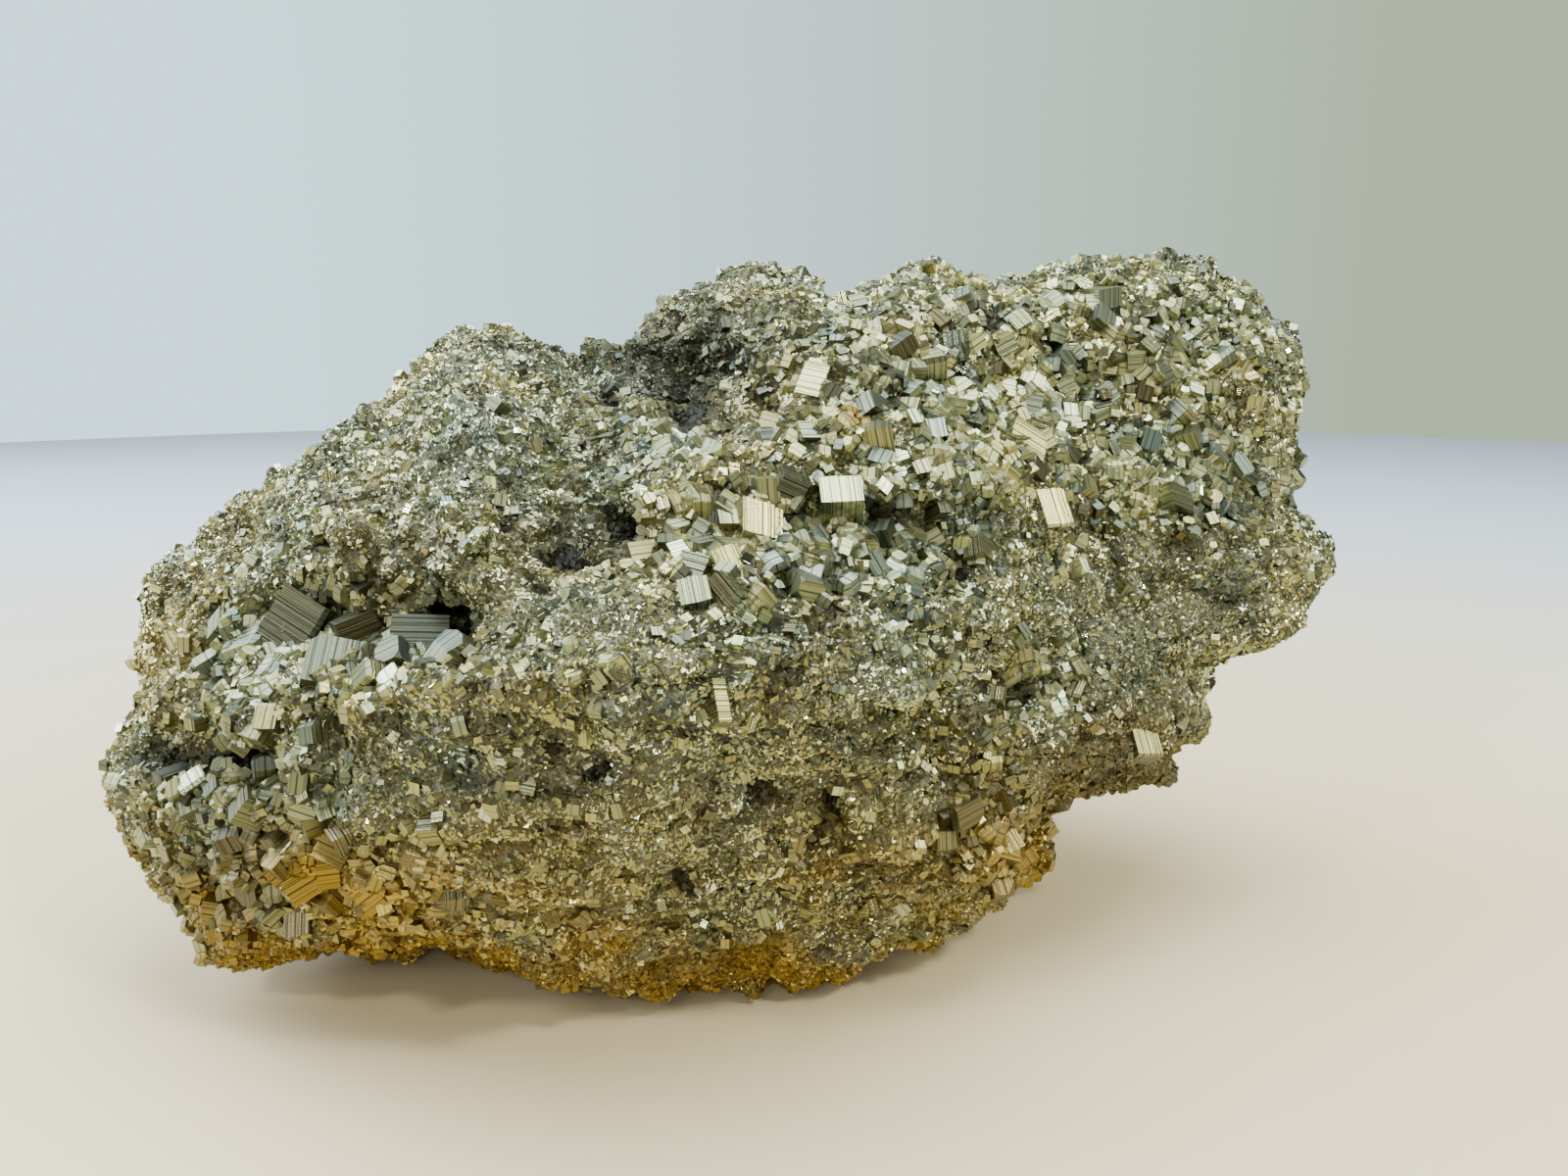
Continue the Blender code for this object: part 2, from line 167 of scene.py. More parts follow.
# Large crystals, placed one by one: x, z on the front, edge lengths in mm, turns about X, Y and Z in degrees,
# and tint and gloss from 0 to 1
NAMED_CRYSTALS = {
    "vein cube": (-0.3, 50.4, (4.4, 4.0, 4.6), (56, 123, 90), 0.5, 0.55),
    "vein cube, left": (-4.2, 46.0, (3.0, 3.0, 3.2), (-71, 62, -30), 0.7, 0.7),
    "vein table": (11.2, 53.2, (4.6, 4.2, 4.2), (-86, -52, -90), 0.65, 0.75),
    "vein blade": (-8.9, 46.0, (2.0, 2.0, 4.4), (-55, -12, 26), 1.0, 0.95),
    "vein block, low": (-3.8, 42.4, (3.4, 3.2, 3.4), (-23, 40, -37), 0.2, 0.5),
    "vein block, back": (4.4, 54.8, (3.2, 3.0, 3.4), (20, 24, 16), 0.2, 0.5),
    "standing prism": (7.2, 68.0, (2.8, 2.8, 5.8), (-50, 12, -11), 0.8, 0.9),
    "striped slab": (36.3, 60.0, (5.8, 3.4, 3.8), (-31, 30, 12), 0.75, 0.8),
    "star plate": (39, 51.4, (4.6, 2.8, 4.0), (-90, 60, -62), 0.85, 0.6),
    "upper block": (49.7, 73.6, (4.4, 3.8, 3.4), (26, 12, 30), 0.4, 0.5),
    "right block": (55.6, 52.6, (4.4, 3.4, 3.2), (-28, 18, 34), 0.5, 0.5),
    "trough block": (-56, 39.8, (6.0, 4.6, 6.6), (-22, 26, -19), 0.22, 0.4),
    "trough slab": (-48.4, 38.6, (5.6, 4.2, 5.2), (-7, -15, 34), 0.14, 0.4),
    "trough block, right": (-41, 38.6, (5.6, 3.8, 3.4), (-30, 4, 12), 0.2, 0.3),
    "cheek cube": (-65.6, 22.7, (2.4, 2.4, 2.8), (-59, 16, -51), 1.0, 1.0),
    "cheek block": (-59, 20.0, (3.2, 2.8, 3.0), (18, 34, 36), 0.55, 0.3),
    "cheek block, low": (-49.1, 15.4, (3.4, 3.0, 3.2), (-30, 32, 8), 0.4, 0.5),
    "heel block": (-52, 12.0, (3.4, 3.2, 3.0), (-18, -24, 28), 0.4, 0.5),
    "ledge crystal": (51, 22.6, (3.4, 3.4, 3.4), (-101, 50, -79), 1.0, 1.0),
    "ledge barrel": (30.4, 13.2, (3.8, 3.0, 2.8), (-30, 22, 18), 0.5, 0.5),
    "belly finger": (-4.3, 29.5, (1.6, 1.8, 3.8), (-33, 10, 34), 0.8, 0.8),
}

# Coarse patches: x, z, half width and half height in mm, how many crystals, and their mean edge in mm
FRONT_PATCHES = {
    "vein": (2, 48, 15, 7, 22, 2.3),
    "upper slope": (37, 68, 30, 13, 46, 2.6),
    "trough": (-53, 38, 16, 5, 14, 3.4),
    "cheek": (-61, 20, 11, 12, 18, 2.5),
    "heel": (-45, 12, 14, 5, 8, 2.5),
    "right ledge": (28, 15, 6, 6, 6, 2.8),
}
BACK_PATCHES = {
    "back shoulder": (35, 62, 26, 14, 15, 3.9),
    "back belly": (-33, 34, 26, 16, 15, 3.8),
    "back foot": (23, 22, 20, 10, 8, 3.4),
    "right end": (67, 56, 5, 16, 6, 3.2),
    "left end": (-67, 32, 5, 14, 6, 3.2),
}
# A crystal is larger or smaller than its patch's mean by up to SIZE_SPREAD, and each of its edges by up to
# EDGE_SPREAD more
SIZE_SPREAD = 0.4
EDGE_SPREAD = 0.2
# A block looks the same again after this turn, in degrees, so each patch crystal is turned by less
MOST_TURN = 90.0
# The turn from one crystal of a patch to the next, which spreads them evenly
GOLDEN_ANGLE = math.radians(137.5)
# A crystal's middle lies this share of its shortest edge inside the stone. Those of a patch are sunk deeper
NAMED_SUNK = 0.25
PATCH_SUNK = 0.4
# Tints and glosses of the crystals of a patch, as ranges from 0 to 1
PATCH_TINTS = (0.0, 0.5)
PATCH_GLOSSES = (0.1, 0.6)
# No crystal's middle is nearer to the girth than this share of the way out from the hub
MOST_CRYSTAL_SHARE = 0.94

# Finer shape of the stone's skin

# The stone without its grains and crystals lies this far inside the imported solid, so that their tips reach it
SKIN_DEPTH = 1.0 * MM
# Squares along each edge of the six grids that the stone's skin is made of
SKIN_CELLS = 120
# Lumps of the skin: their spacing along X, Y and Z in mm, how far they stand in or out in mm, and how far
# they are parted by creases, from 0 to 1, as where grains grew against each other
SKIN_LUMPS = (
    ((11.0, 11.0, 6.0), 1.2, 0.3),
    ((5.0, 5.0, 3.4), 1.5, 0.7),
    ((2.4, 2.4, 1.8), 0.9, 0.8),
)
# A crease runs where the noise crosses zero: it is this deep, and rises to both sides this steeply
CREASE_DROP = 0.5
CREASE_GAIN = 2.0
# Dark pits that the photo shows: x, z, half width, half height and depth, all in mm
PITS = {
    "under the brow": (-24.7, 24.7, 1.2, 0.8, 1.8),
    "under the brow, right": (-19.9, 22.5, 1.5, 0.8, 1.8),
    "belly, upper": (1.2, 18.9, 0.8, 0.7, 2.8),
    "belly, crack top": (9.5, 17.5, 0.7, 1.2, 2.4),
    "belly, crack": (7.6, 15.0, 0.7, 1.4, 2.8),
    "belly, crack foot": (5.0, 12.5, 0.9, 0.7, 2.0),
    "foot": (-8.0, 11.2, 1.7, 0.9, 2.0),
    "under the vein table": (16.0, 51.0, 2.4, 1.0, 1.4),
    "under the right slope": (26.3, 45.7, 1.7, 1.0, 3.2),
    "over the ledge": (34.1, 29.2, 1.2, 1.2, 2.4),
    "over the ledge, left": (29.2, 30.9, 1.4, 1.0, 2.4),
    "under the roof block": (-40.0, 39.8, 2.7, 0.8, 2.2),
    "beside the roof block": (-36.6, 38.0, 0.9, 2.3, 1.8),
    "under the trough slab": (-47.0, 36.0, 1.7, 0.8, 2.4),
    "trough, upper left": (-55.0, 49.0, 1.4, 1.0, 2.8),
    "trough, far left": (-66.5, 41.5, 1.1, 0.9, 2.4),
    "brown patch on the ridge": (-30.5, 52.0, 1.9, 1.1, 2.0),
    "valley": (-17.5, 50.5, 1.9, 1.4, 3.0),
    "valley, low": (-23.6, 47.6, 2.2, 1.3, 3.2),
    "valley, foot": (-28.5, 44.0, 1.4, 1.0, 2.4),
    "beside the vein": (-11.3, 52.0, 0.9, 1.0, 2.8),
    "over the vein cube": (-2.5, 54.6, 1.6, 0.9, 2.8),
    "cave": (-8.3, 64.8, 2.6, 2.0, 2.0),
    "cave, left": (-20.0, 66.5, 1.3, 1.5, 2.4),
    "beside the standing prism": (1.5, 65.0, 1.6, 1.0, 2.4),
    "upper slope": (32.5, 77.0, 1.9, 1.1, 2.4),
    "right slope": (44.0, 58.5, 1.6, 1.0, 2.4),
    "cheek step": (-69.0, 25.5, 2.0, 1.0, 2.8),
    "cheek step, right": (-61.0, 25.5, 2.2, 1.0, 2.4),
}
# The edges of pits are shifted by up to this many mm, in tongues of this size
PIT_RAGGED = 0.9
PIT_PATCH = 2.6 * MM

# Where the stone is coarse, where it gets painted shade, and where it has rust and a painted warm reflection

# Coarse places on the front and the back: x, z, half width and half height in mm, and how coarse, from 0 to 1
FRONT_COARSE = {
    "vein": (3, 49, 18, 7, 1.0),
    "upper slope": (37, 68, 36, 15, 0.95),
    "right slope": (58, 54, 10, 5, 0.7),
    "trough": (-53, 38, 17, 5, 0.8),
    "cheek": (-61, 20, 12, 12, 0.45),
    "heel": (-45, 12, 16, 6, 0.5),
    "right ledge": (29, 16, 9, 6, 0.5),
    "over the right ledge": (37, 30, 7, 4, 0.6),
    "beside the cave": (-13, 60, 7, 5, 0.5),
    "middle of the right": (24, 36, 14, 8, 0.25),
}
BACK_COARSE = {
    "shoulder": (35, 62, 28, 15, 0.8),
    "heel": (-33, 34, 26, 16, 0.75),
    "foot": (23, 22, 20, 10, 0.6),
    "right end": (67, 56, 7, 16, 0.6),
    "left end": (-67, 32, 7, 14, 0.6),
}
# Hollows and shaded places of the front whose crystals get painted shade, so they are dark and dull, in the
# same way
FRONT_PAINTED_SHADE = {
    "cave": (-8, 67, 11, 7, 0.52),
    "cave, left side": (-17, 72, 7, 5, 0.52),
    "face of the back lump": (-4, 75, 13, 6, 0.36),
    "gully": (-21, 50, 8, 5, 0.56),
    "hole in the trough": (-38, 39, 7, 3, 0.4),
    "trough": (-52, 41, 13, 5, 0.26),
    "under the vein table": (18, 50.5, 9, 3, 0.34),
    "step in the cheek": (-66, 25.5, 8, 2, 0.45),
    "under the brow": (-22, 24, 10, 5, 0.1),
    "right flank": (46, 21, 18, 8, 0.6),
    "cheek": (-62, 18, 14, 13, 0.38),
}
# Where rust and a painted warm reflection show on the front apart from the foot, in the same way. A row below
# zero keeps its place clean
FRONT_RUST_AND_REFLECTION = {
    "heel": (-42, 12, 7, 3, 0.75),
    "heel facets": (-51, 14, 4, 3, 0.9),
    "under the brow": (-20, 25, 10, 4, 0.08),
    "ledge barrel": (30.5, 13, 4, 3, 0.6),
    "right rim, which is clean": (34, 5, 20, 7, -0.55),
    "brow, which is clean": (-18, 31, 26, 6, -0.5),
    "upper slope": (13, 64, 2.5, 1.6, 0.9),
    "left end": (-73, 36, 4, 5, 0.4),
    "belly": (-15, 15, 34, 7, 0.25),
    "right low": (42, 22, 16, 8, 0.4),
}
# A pit this deep, in mm, gets as much painted shade as the darkest hollow
FULLY_SHADED_PIT = 2.5
# Painted shade darkens the creases of the skin: how much for each mm below its level, the level in mm, and
# how much at most, so that the creases on the stone's outline stay light
CREASE_PAINTED_SHADE = 0.4
CREASE_LEVEL = 0.1
MOST_CREASE_PAINTED_SHADE = 0.5
# Rust and a painted warm reflection deepen from their top height down to their foot height, with the share of
# the way down to this power
RUST_AND_REFLECTION_TOP = 26.0 * MM
RUST_AND_REFLECTION_FOOT = 3.0 * MM
RUST_AND_REFLECTION_POWER = 1.2
# Coarse and fine patches make it ragged: their sizes, how strong the fine ones are against the coarse ones,
# how strong both are, and how far over the top height they reach, as a share of the way down
RUST_AND_REFLECTION_PATCH = 8.0 * MM
FINE_RUST_AND_REFLECTION_PATCH = RUST_AND_REFLECTION_PATCH / 3
FINE_RUST_AND_REFLECTION_SHARE = 0.5
RUST_AND_REFLECTION_RAGGED = 0.65
RUST_AND_REFLECTION_REACH = 0.35

# Sizes, places and turns of the crystals

# The smallest and largest edge and the spacing of each size of crystal in mm, and the share of places that
# hold one where the stone is fine and where it is coarse
CRYSTAL_SIZES = {
    "large": (1.5, 2.5, 2.2, 0.0, 0.75),
    "middle": (1.0, 1.6, 1.35, 0.02, 0.95),
    "small": (0.6, 1.0, 0.92, 0.03, 0.7),
    "fine": (0.32, 0.56, 0.43, 1.0, 0.9),
}
# The share of places rises with the coarseness to this power, so large crystals keep to the coarsest places
COARSE_POWERS = {"large": 3.0, "middle": 1.5, "small": 1.0, "fine": 1.0}
# On the back and the underside, which aren't in the photo, crystals are this many times further apart
BACK_SPACING = 1.8
# Random spots that are drawn for each crystal, so that there is one near to each cell's middle
CANDIDATES_PER_GRAIN = 5
# No piece of crystals has more triangles than about this
MOST_TRIANGLES = 190_000
# Small crystals are commoner than large ones of the same kind: their sizes follow a share to this power
SIZE_POWER = 1.5
# Each edge of a crystal is between these shares of its size
EDGE_RANGE = (0.7, 1.3)
# A crystal's middle is between these shares of its size outside the skin
CRYSTAL_RISE = (-0.3, 0.12)
# How far a crystal's own axis leans from the way the stone faces, in degrees
BLOCK_LEAN = 60.0
CORNER_LEAN = 32.0
# This share of the fine grains are whole cubes, and the others show one corner
CUBE_SHARE = 0.1
# Crystals of one area are turned alike, as if they had grown on one lattice: the size of the areas, the size
# and reach of the tongues along their edges, how many degrees a crystal leans from the lattice at most, and
# the share of the crystals that keeps to it
LATTICE_AREA = 3.0 * MM
LATTICE_TONGUE = LATTICE_AREA / 3.0
LATTICE_RAGGED = 1.0 * MM
LATTICE_LEAN = 8.0
LATTICE_SHARES = {"large": 0.25, "middle": 0.5, "small": 0.5, "fine": 0.45}
# A crystal's tint is partly its own and partly shared with its neighbours: the shared part's weight, mean,
# contrast and patch size
TINT_SHARED = 0.4
MEAN_TINT = 0.5
TINT_CONTRAST = 0.9
TINT_PATCH = 4.0 * MM
# Most large crystals are rather dull and more of the fine grains shine: the gloss is a share to this power
GLOSS_POWERS = {"large": 2.6, "middle": 2.6, "small": 1.6, "fine": 0.8}
# No crystal is put this near to the ground, or where a pit is deeper than this many mm
GROUND_GAP = 0.3 * MM
BARE_PIT = 1.3

FULL_TURN = 360.0
# Seen from the hub, the stone is read this many radians to each side to find which way it faces
NORMAL_STEP = 0.05
# How much chance there is in which spot of a cell is kept, as a share of the cell
CELL_JITTER = 0.35
# Coarse places have ragged edges: how strong and how large the tongues are, and how much coarser than in its
# row each place is in its middle, so that it is fully coarse some way out
COARSE_RAGGED = 0.3
COARSE_PATCH = 5.0 * MM
COARSE_GAIN = 1.25
# A spot nearer to a larger crystal's middle than this share of its edge is inside it
CORE_SHARE = 0.42
# Distances are worked out for this many spots at once, to save memory
ROWS_AT_ONCE = 4000
# Planes and places nearer than this count as touching, and corners are one if they agree to these decimals
TOUCHING = 1e-6
FORM_DECIMALS = 6
GRID_DECIMALS = 9
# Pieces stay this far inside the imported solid's box
BOX_MARGIN = 0.01 * MM
# The skin's area in square metres, for the count of spots
SKIN_AREA = 0.045
# Large odd numbers and shifts that turn a cell's whole numbers and a seed into a random number of 32 bits
CELL_FACTORS = np.array((73_856_093, 19_349_663, 83_492_791))
SEED_FACTOR = 2_654_435_761
STIRS = ((15, 2_246_822_519), (13, 3_266_489_917))
LAST_SHIFT = 16
LARGEST_WORD = 0xFFFFFFFF
HALF_RANGE = 0x80000000

# Forms of the crystals

# Distances of the cube's, the pyritohedron's and the octahedron's planes, and how uneven they are
BLOCK_HABITS = (
    (1.0, None, None, 0.22),
    (1.0, 1.16, None, 0.12),
    (1.0, None, 1.5, 0.14),
    (1.0, 1.08, 1.45, 0.10),
)
PYRITOHEDRON_HABITS = (
    (None, 1.0, None, 0.06),
    (1.06, 1.0, None, 0.08),
)
CUBE_HABIT = (1.0, None, None, 0.25)
# How many different forms there are of each habit, and how many prisms and cube corners
FORMS_PER_HABIT = 4
STRIATED_FORMS = 16
CORNER_FORMS = 8
# A striated prism is a stack of plates: how many, how high against each other, by how much their widths
# differ, by how much more the last one is narrower, and how much is cut off two corners
PLATES = 5
PLATE_HEIGHTS = (0.5, 1.5)
PLATE_STEP = 0.05
END_STEP = 0.15
CUT_CORNER = (0.05, 0.45)
# The tip of a cube's corner is this share of its size over its middle, and its edges are these shares long
CORNER_TIP = 0.45
CORNER_LENGTHS = (0.9, 1.5)
# The faces of one crystal differ in tint by up to this much
FACE_TINTS = 0.22

# Colours and finish. A ramp is places from 0 to 1, each with its colour

# Crystals run from dull olive and grey to brass and silver
CRYSTAL_TINTS = (
    (0.0, "#504A32"), (0.2, "#6E776C"), (0.4, "#8C8C66"),
    (0.6, "#988E66"), (0.8, "#B5B488"), (1.0, "#CBD0B8"),
)
SKIN_TINTS = ((0.3, "#474233"), (0.7, "#6C6858"))
TONE_PATCH = 8.0 * MM
TONE_DETAIL = 5.0
# A faint cast over the whole stone, cool in some places and warm in others
CASTS = ((0.35, "#E6F3F1"), (0.65, "#FCF8DE"))
CAST_PATCH = 14.0 * MM
CAST_DETAIL = 2.0
# Films over the stone: colour, how much of the stone's own colour they hide at most, and roughness. The ochre
# film is partly rust and partly a painted warm reflection, and the near-black one is painted shade
FILMS = {
    # Partly rust and partly a painted warm reflection, strongest at the foot
    "rust": ("#94701C", 0.85, 0.3),
    # Painted shade: a near-black film for hollows, pits and creases
    "dirt": ("#1B1D14", 0.97, 0.55),
}
# Pyrite is a metal, and the dull film that this stone has weathered to scatters a little light. The skin
# between the crystals has more of it, which reflects only weakly
CRYSTAL_METAL = 0.95
SKIN_METAL = 0.5
SKIN_SHINE = 0.2
# Roughness of the glossiest and the dullest crystals, and of the skin
ROUGHNESS_LOW = 0.07
ROUGHNESS_HIGH = 0.42
SKIN_ROUGHNESS = 0.5
# Stripes are noise along one axis: how many for each mm, its finer layers and how strong they are, and depth
STRIPES_PER_MM = 4.2
STRIPE_DETAIL = 2.0
STRIPE_FINENESS = 0.6
STRIPE_DEPTH = 0.1 * MM
# Crystals of this mean edge in mm and more have their stripes and grit in full, and finer ones are smoother
FULL_STRIPES = 2.2
# Painted shade darkens the grooves between stripes: where their noise is below this level, down to this share
GROOVE_LEVEL = 0.5
GROOVE_SOFT = 0.08
GROOVE_PAINTED_SHADE = 0.25
# Grit on the dull faces: its size, its finer layers and its depth
GRIT = 0.2 * MM
GRIT_DETAIL = 3.0
GRIT_DEPTH = 0.03 * MM
# The glossiest faces have this share of the grit
LEAST_GRIT = 0.15
# Broken grains of the skin: their size, and how steeply their faces slope
SKIN_GRAIN = 0.4 * MM
SKIN_GRAIN_SLOPE = 2.2
# Values that the crystals' meshes store for their material, at each corner of each face and at each point
FACE_VALUES = ("tint", "stripe_mm")
POINT_VALUES = ("gloss", "dirt", "rust", "coarse")

# Studio and camera

# The floor is a disc, and the backdrop is a drum with a lid that stands on its rim
BACKDROP_RADIUS = 0.9
BACKDROP_HEIGHT = 0.9
STAGE_SIDES = 96
# The floor goes from cream to grey-blue between these distances from the stone's middle
FLOOR_COLOURS = ((0.0, "#C0B088"), (1.0, "#AEB8BA"))
FLOOR_CHANGE = (0.12, 0.40)
FLOOR_ROUGHNESS = 0.6
FLOOR_SHINE = 0.3
# The backdrop's glowing colours from left to right: painted light, paler at the left and darker at the right
WALL_COLOURS = ((0.25, "#C8E9F2"), (0.75, "#8E9B84"))
WALL_GLOW = 1.42
# The lights face this place. Each has its place, its width and height in metres, colour and power in watts.
# Wide ones light the stone softly, and the small lamps give its crystals sharp glints
AIM = (0.0, 0.0, 0.04)
SOFTBOXES = {
    "window_left": ((-0.60, 0.15, 0.50), (0.60, 0.65), "#DDEBFF", 11.8),
    "ceiling": ((0.05, 0.05, 0.80), (0.80, 0.55), "#E6F1FF", 14.0),
    "right": ((0.60, -0.10, 0.45), (0.25, 0.30), "#F8FFEE", 2.3),
    "front_strip": ((-0.25, -0.60, 0.45), (0.50, 0.10), "#FFFFFF", 1.2),
    "lamp_right": ((0.45, -0.35, 0.60), (0.07, 0.07), "#FFFFFF", 3.2),
    "lamp_left": ((-0.45, -0.40, 0.50), (0.07, 0.07), "#FFFFFF", 2.0),
    "lamp_front": ((0.10, -0.60, 0.35), (0.06, 0.06), "#FFFFFF", 0.5),
    "lamp_low": ((-0.20, -0.60, 0.10), (0.05, 0.05), "#FFF2D0", 0.3),
}
# Light from all round: how far up it comes from, as a share from straight below to straight above, and colour
SURROUND = ((0.40, "#40382A"), (0.50, "#66624F"), (0.65, "#959A9C"), (1.0, "#B8C0C8"))
SURROUND_STRENGTH = 0.62
# How much the picture lifts its darks, as the thin haze in the photo does
PICTURE_GAMMA = 1.25
# The camera is where the lines of the front meet. At a tilt of 90 degrees it would look level
CAMERA_PLACE = (3.5 * MM, -141.3 * MM, 73.5 * MM)
CAMERA_TILT = 78.0
CAMERA_LENS = 27.0
CAMERA_NEAR = 0.01

# Skin and spots hold x and z on the girth plane in mm, whether they are on the front, and how low they are
Skin = namedtuple("Skin", "places normals squares x z front low")
Spots = namedtuple("Spots", "place normal x z front low")
Crystals = namedtuple("Crystals", "place turn edges tint gloss dirt rust")
Form = namedtuple("Form", "corners faces tints is_prism")
Forms = namedtuple("Forms", "prisms blocks rounded cubes corners")


def girth_radius(angle):
    """Distance from the hub to the girth at each angle, with an even change between the points of GIRTH."""
    outline = np.array(GIRTH) * MM - np.array(HUB)
    outline_angle = np.arctan2(outline[:, 1], outline[:, 0])
    outline_radius = np.hypot(outline[:, 0], outline[:, 1])
    return np.interp(angle, outline_angle, outline_radius, period=2 * math.pi)


def soft_girth_radius(angle):
    """The girth's radius without its corners: its mean and its first few waves around the hub."""
    steps = np.arange(SOFT_GIRTH_STEPS) * (2 * math.pi / SOFT_GIRTH_STEPS)
    radius = girth_radius(steps)
    soft = np.full_like(angle, radius.mean())
    for wave in range(1, SOFT_GIRTH_WAVES + 1):
        soft += 2 * (radius * np.cos(wave * steps)).mean() * np.cos(wave * angle)
        soft += 2 * (radius * np.sin(wave * steps)).mean() * np.sin(wave * angle)
    return soft


def bumps(table, x, z):
    """Sum of a table's smooth bumps at x, z in mm.

    Each is height * exp(-(dx / half width)^2 - (dz / half height)^2).
    """
    total = np.zeros_like(x)
    for middle_x, middle_z, half_width, half_height, height in table.values():
        total += height * np.exp(-(((x - middle_x) / half_width) ** 2) - ((z - middle_z) / half_height) ** 2)
    return total


def knobs(directions):
    """Small lumps, each a smooth cap about a random direction from the hub."""
    rng = np.random.default_rng(SEED)
    centres = rng.normal(size=(KNOB_COUNT, 3))
    centres /= np.linalg.norm(centres, axis=1, keepdims=True)
    reach = rng.uniform(*KNOB_REACH, KNOB_COUNT)
    rise = rng.uniform(-1.0, 1.0, KNOB_COUNT) * KNOB_RISE
    distance_squared = 2.0 - 2.0 * directions @ centres.T
    return (rise * np.exp(-distance_squared / reach**2)).sum(axis=1)


def chart_place(directions):
    """Where directions from the hub meet the girth plane: x and z in mm."""
    directions = directions / np.linalg.norm(directions, axis=1, keepdims=True)
    radius = girth_radius(np.arctan2(directions[:, 2], directions[:, 0]))
    return (HUB[0] + radius * directions[:, 0]) / MM, (HUB[1] + radius * directions[:, 2]) / MM


def stone_surface(directions):
    """Points of the stone in the given directions: x to the right, y to the back and z up.

    A direction's angle about the Y axis picks a point of the girth, and its share sideways gives how far
    out from the hub it lies. The point then moves off the girth plane, to the front or the back, by a rounded
    dome. The dome follows the corners of the girth only near the girth, and is soft further in.
    """
    directions = directions / np.linalg.norm(directions, axis=1, keepdims=True)
    angle = np.arctan2(directions[:, 2], directions[:, 0])
    share = np.hypot(directions[:, 0], directions[:, 2])
    girth = girth_radius(angle)
    x = HUB[0] + girth * share * np.cos(angle)
    z = HUB[1] + girth * share * np.sin(angle)
    y = LEAN * z + SKEW * (x - TAPER_POINT.x) + GIRTH_FOOT
    points = np.stack([x, y, z], axis=-1)

    edge_fade = 1.0 - share**RIM_POWER
    height_share = share * (girth / soft_girth_radius(angle)) ** edge_fade
    dome = (1.0 - height_share**2).clip(0.0)
    knob_rise = edge_fade * knobs(directions)
    is_front = directions[:, 1] < 0.0

    front_round = FRONT_ROUND - FRONT_ROUND_CHANGE * np.sin(angle)
    front_relief = edge_fade * bumps(FRONT_RELIEF, x / MM, z / MM) * MM
    front_rise = FRONT_DEPTH * dome ** (1.0 / front_round) + front_relief + knob_rise
    to_taper = np.array(TAPER_POINT) - points
    to_taper /= np.linalg.norm(to_taper, axis=1, keepdims=True)

    back_relief = edge_fade * bumps(BACK_RELIEF, x / MM, z / MM) * MM
    back_rise = BACK_DEPTH * dome ** (1.0 / BACK_ROUND) + back_relief + knob_rise
    fall = BACK_FALL_FOOT + (BACK_FALL_TOP - BACK_FALL_FOOT) * z / STONE_HEIGHT
    to_back = np.stack([np.zeros_like(fall), np.ones_like(fall), -fall], axis=-1)
    moved = np.where(is_front[:, None], to_taper * front_rise[:, None], to_back * back_rise[:, None])
    return points + moved


def cell_values(cells, seed):
    """A random value from -1 to 1 for each cell: its three whole numbers mixed by large odd factors."""
    mixed = np.bitwise_xor.reduce(cells * CELL_FACTORS, axis=1) ^ seed * SEED_FACTOR
    for shift, factor in STIRS:
        mixed = (mixed ^ (mixed >> shift)) * factor & LARGEST_WORD
    return (mixed ^ (mixed >> LAST_SHIFT)) / HALF_RANGE - 1.0


def smooth_noise(points, spacing, seed):
    """Noise from -1 to 1: values at the corners of a grid of cells, blended between them by 3t^2 - 2t^3."""
    scaled = points / np.asarray(spacing)
    low = np.floor(scaled).astype(np.int64)
    share = scaled - low
    share = share * share * (3.0 - 2.0 * share)
    total = np.zeros(len(points))
    for corner in itertools.product((0, 1), repeat=3):
        weight = np.where(corner, share, 1.0 - share).prod(axis=1)
        total += weight * cell_values(low + np.array(corner), seed)
    return total


def cube_sphere(cells):
    """Unit directions and the squares between them: a grid on each face of a cube, pushed out to the sphere.

    Grid lines lie at equal angles, as tan(45 deg * u) for u from -1 to 1, and shared edges are made one.
    """
    steps = np.tan(np.linspace(-1.0, 1.0, cells + 1) * math.pi / 4)
    u, v = np.meshgrid(steps, steps, indexing="ij")
    number = np.arange((cells + 1) ** 2).reshape(cells + 1, cells + 1)
    corners = (number[:-1, :-1], number[1:, :-1], number[1:, 1:], number[:-1, 1:])
    squares = np.stack(corners, axis=-1).reshape(-1, 4)
    directions = []
    faces = []
    for axis, sign in itertools.product(range(3), (-1.0, 1.0)):
        side = np.zeros((cells + 1, cells + 1, 3))
        side[..., axis] = sign
        side[..., (axis + 1) % 3] = u * sign
        side[..., (axis + 2) % 3] = v
        faces.append(squares + len(directions) * number.size)
        directions.append(side.reshape(-1, 3))
    directions = np.concatenate(directions)
    directions /= np.linalg.norm(directions, axis=1, keepdims=True)
    nearly = directions.round(GRID_DECIMALS)
    _, first, index = np.unique(nearly, axis=0, return_index=True, return_inverse=True)
    return directions[first], index.reshape(-1)[np.concatenate(faces)]


def corner_normals(places, squares):
    """Outward unit normals of the corners: the sum of the cross products of their squares' diagonals."""
    across = places[squares[:, 2]] - places[squares[:, 0]]
    along = places[squares[:, 3]] - places[squares[:, 1]]
    square_normals = np.cross(across, along)
    normals = np.zeros_like(places)
    for corner, axis in itertools.product(range(4), range(3)):
        normals[:, axis] += np.bincount(squares[:, corner], square_normals[:, axis], len(places))
    return normals / np.linalg.norm(normals, axis=1, keepdims=True)


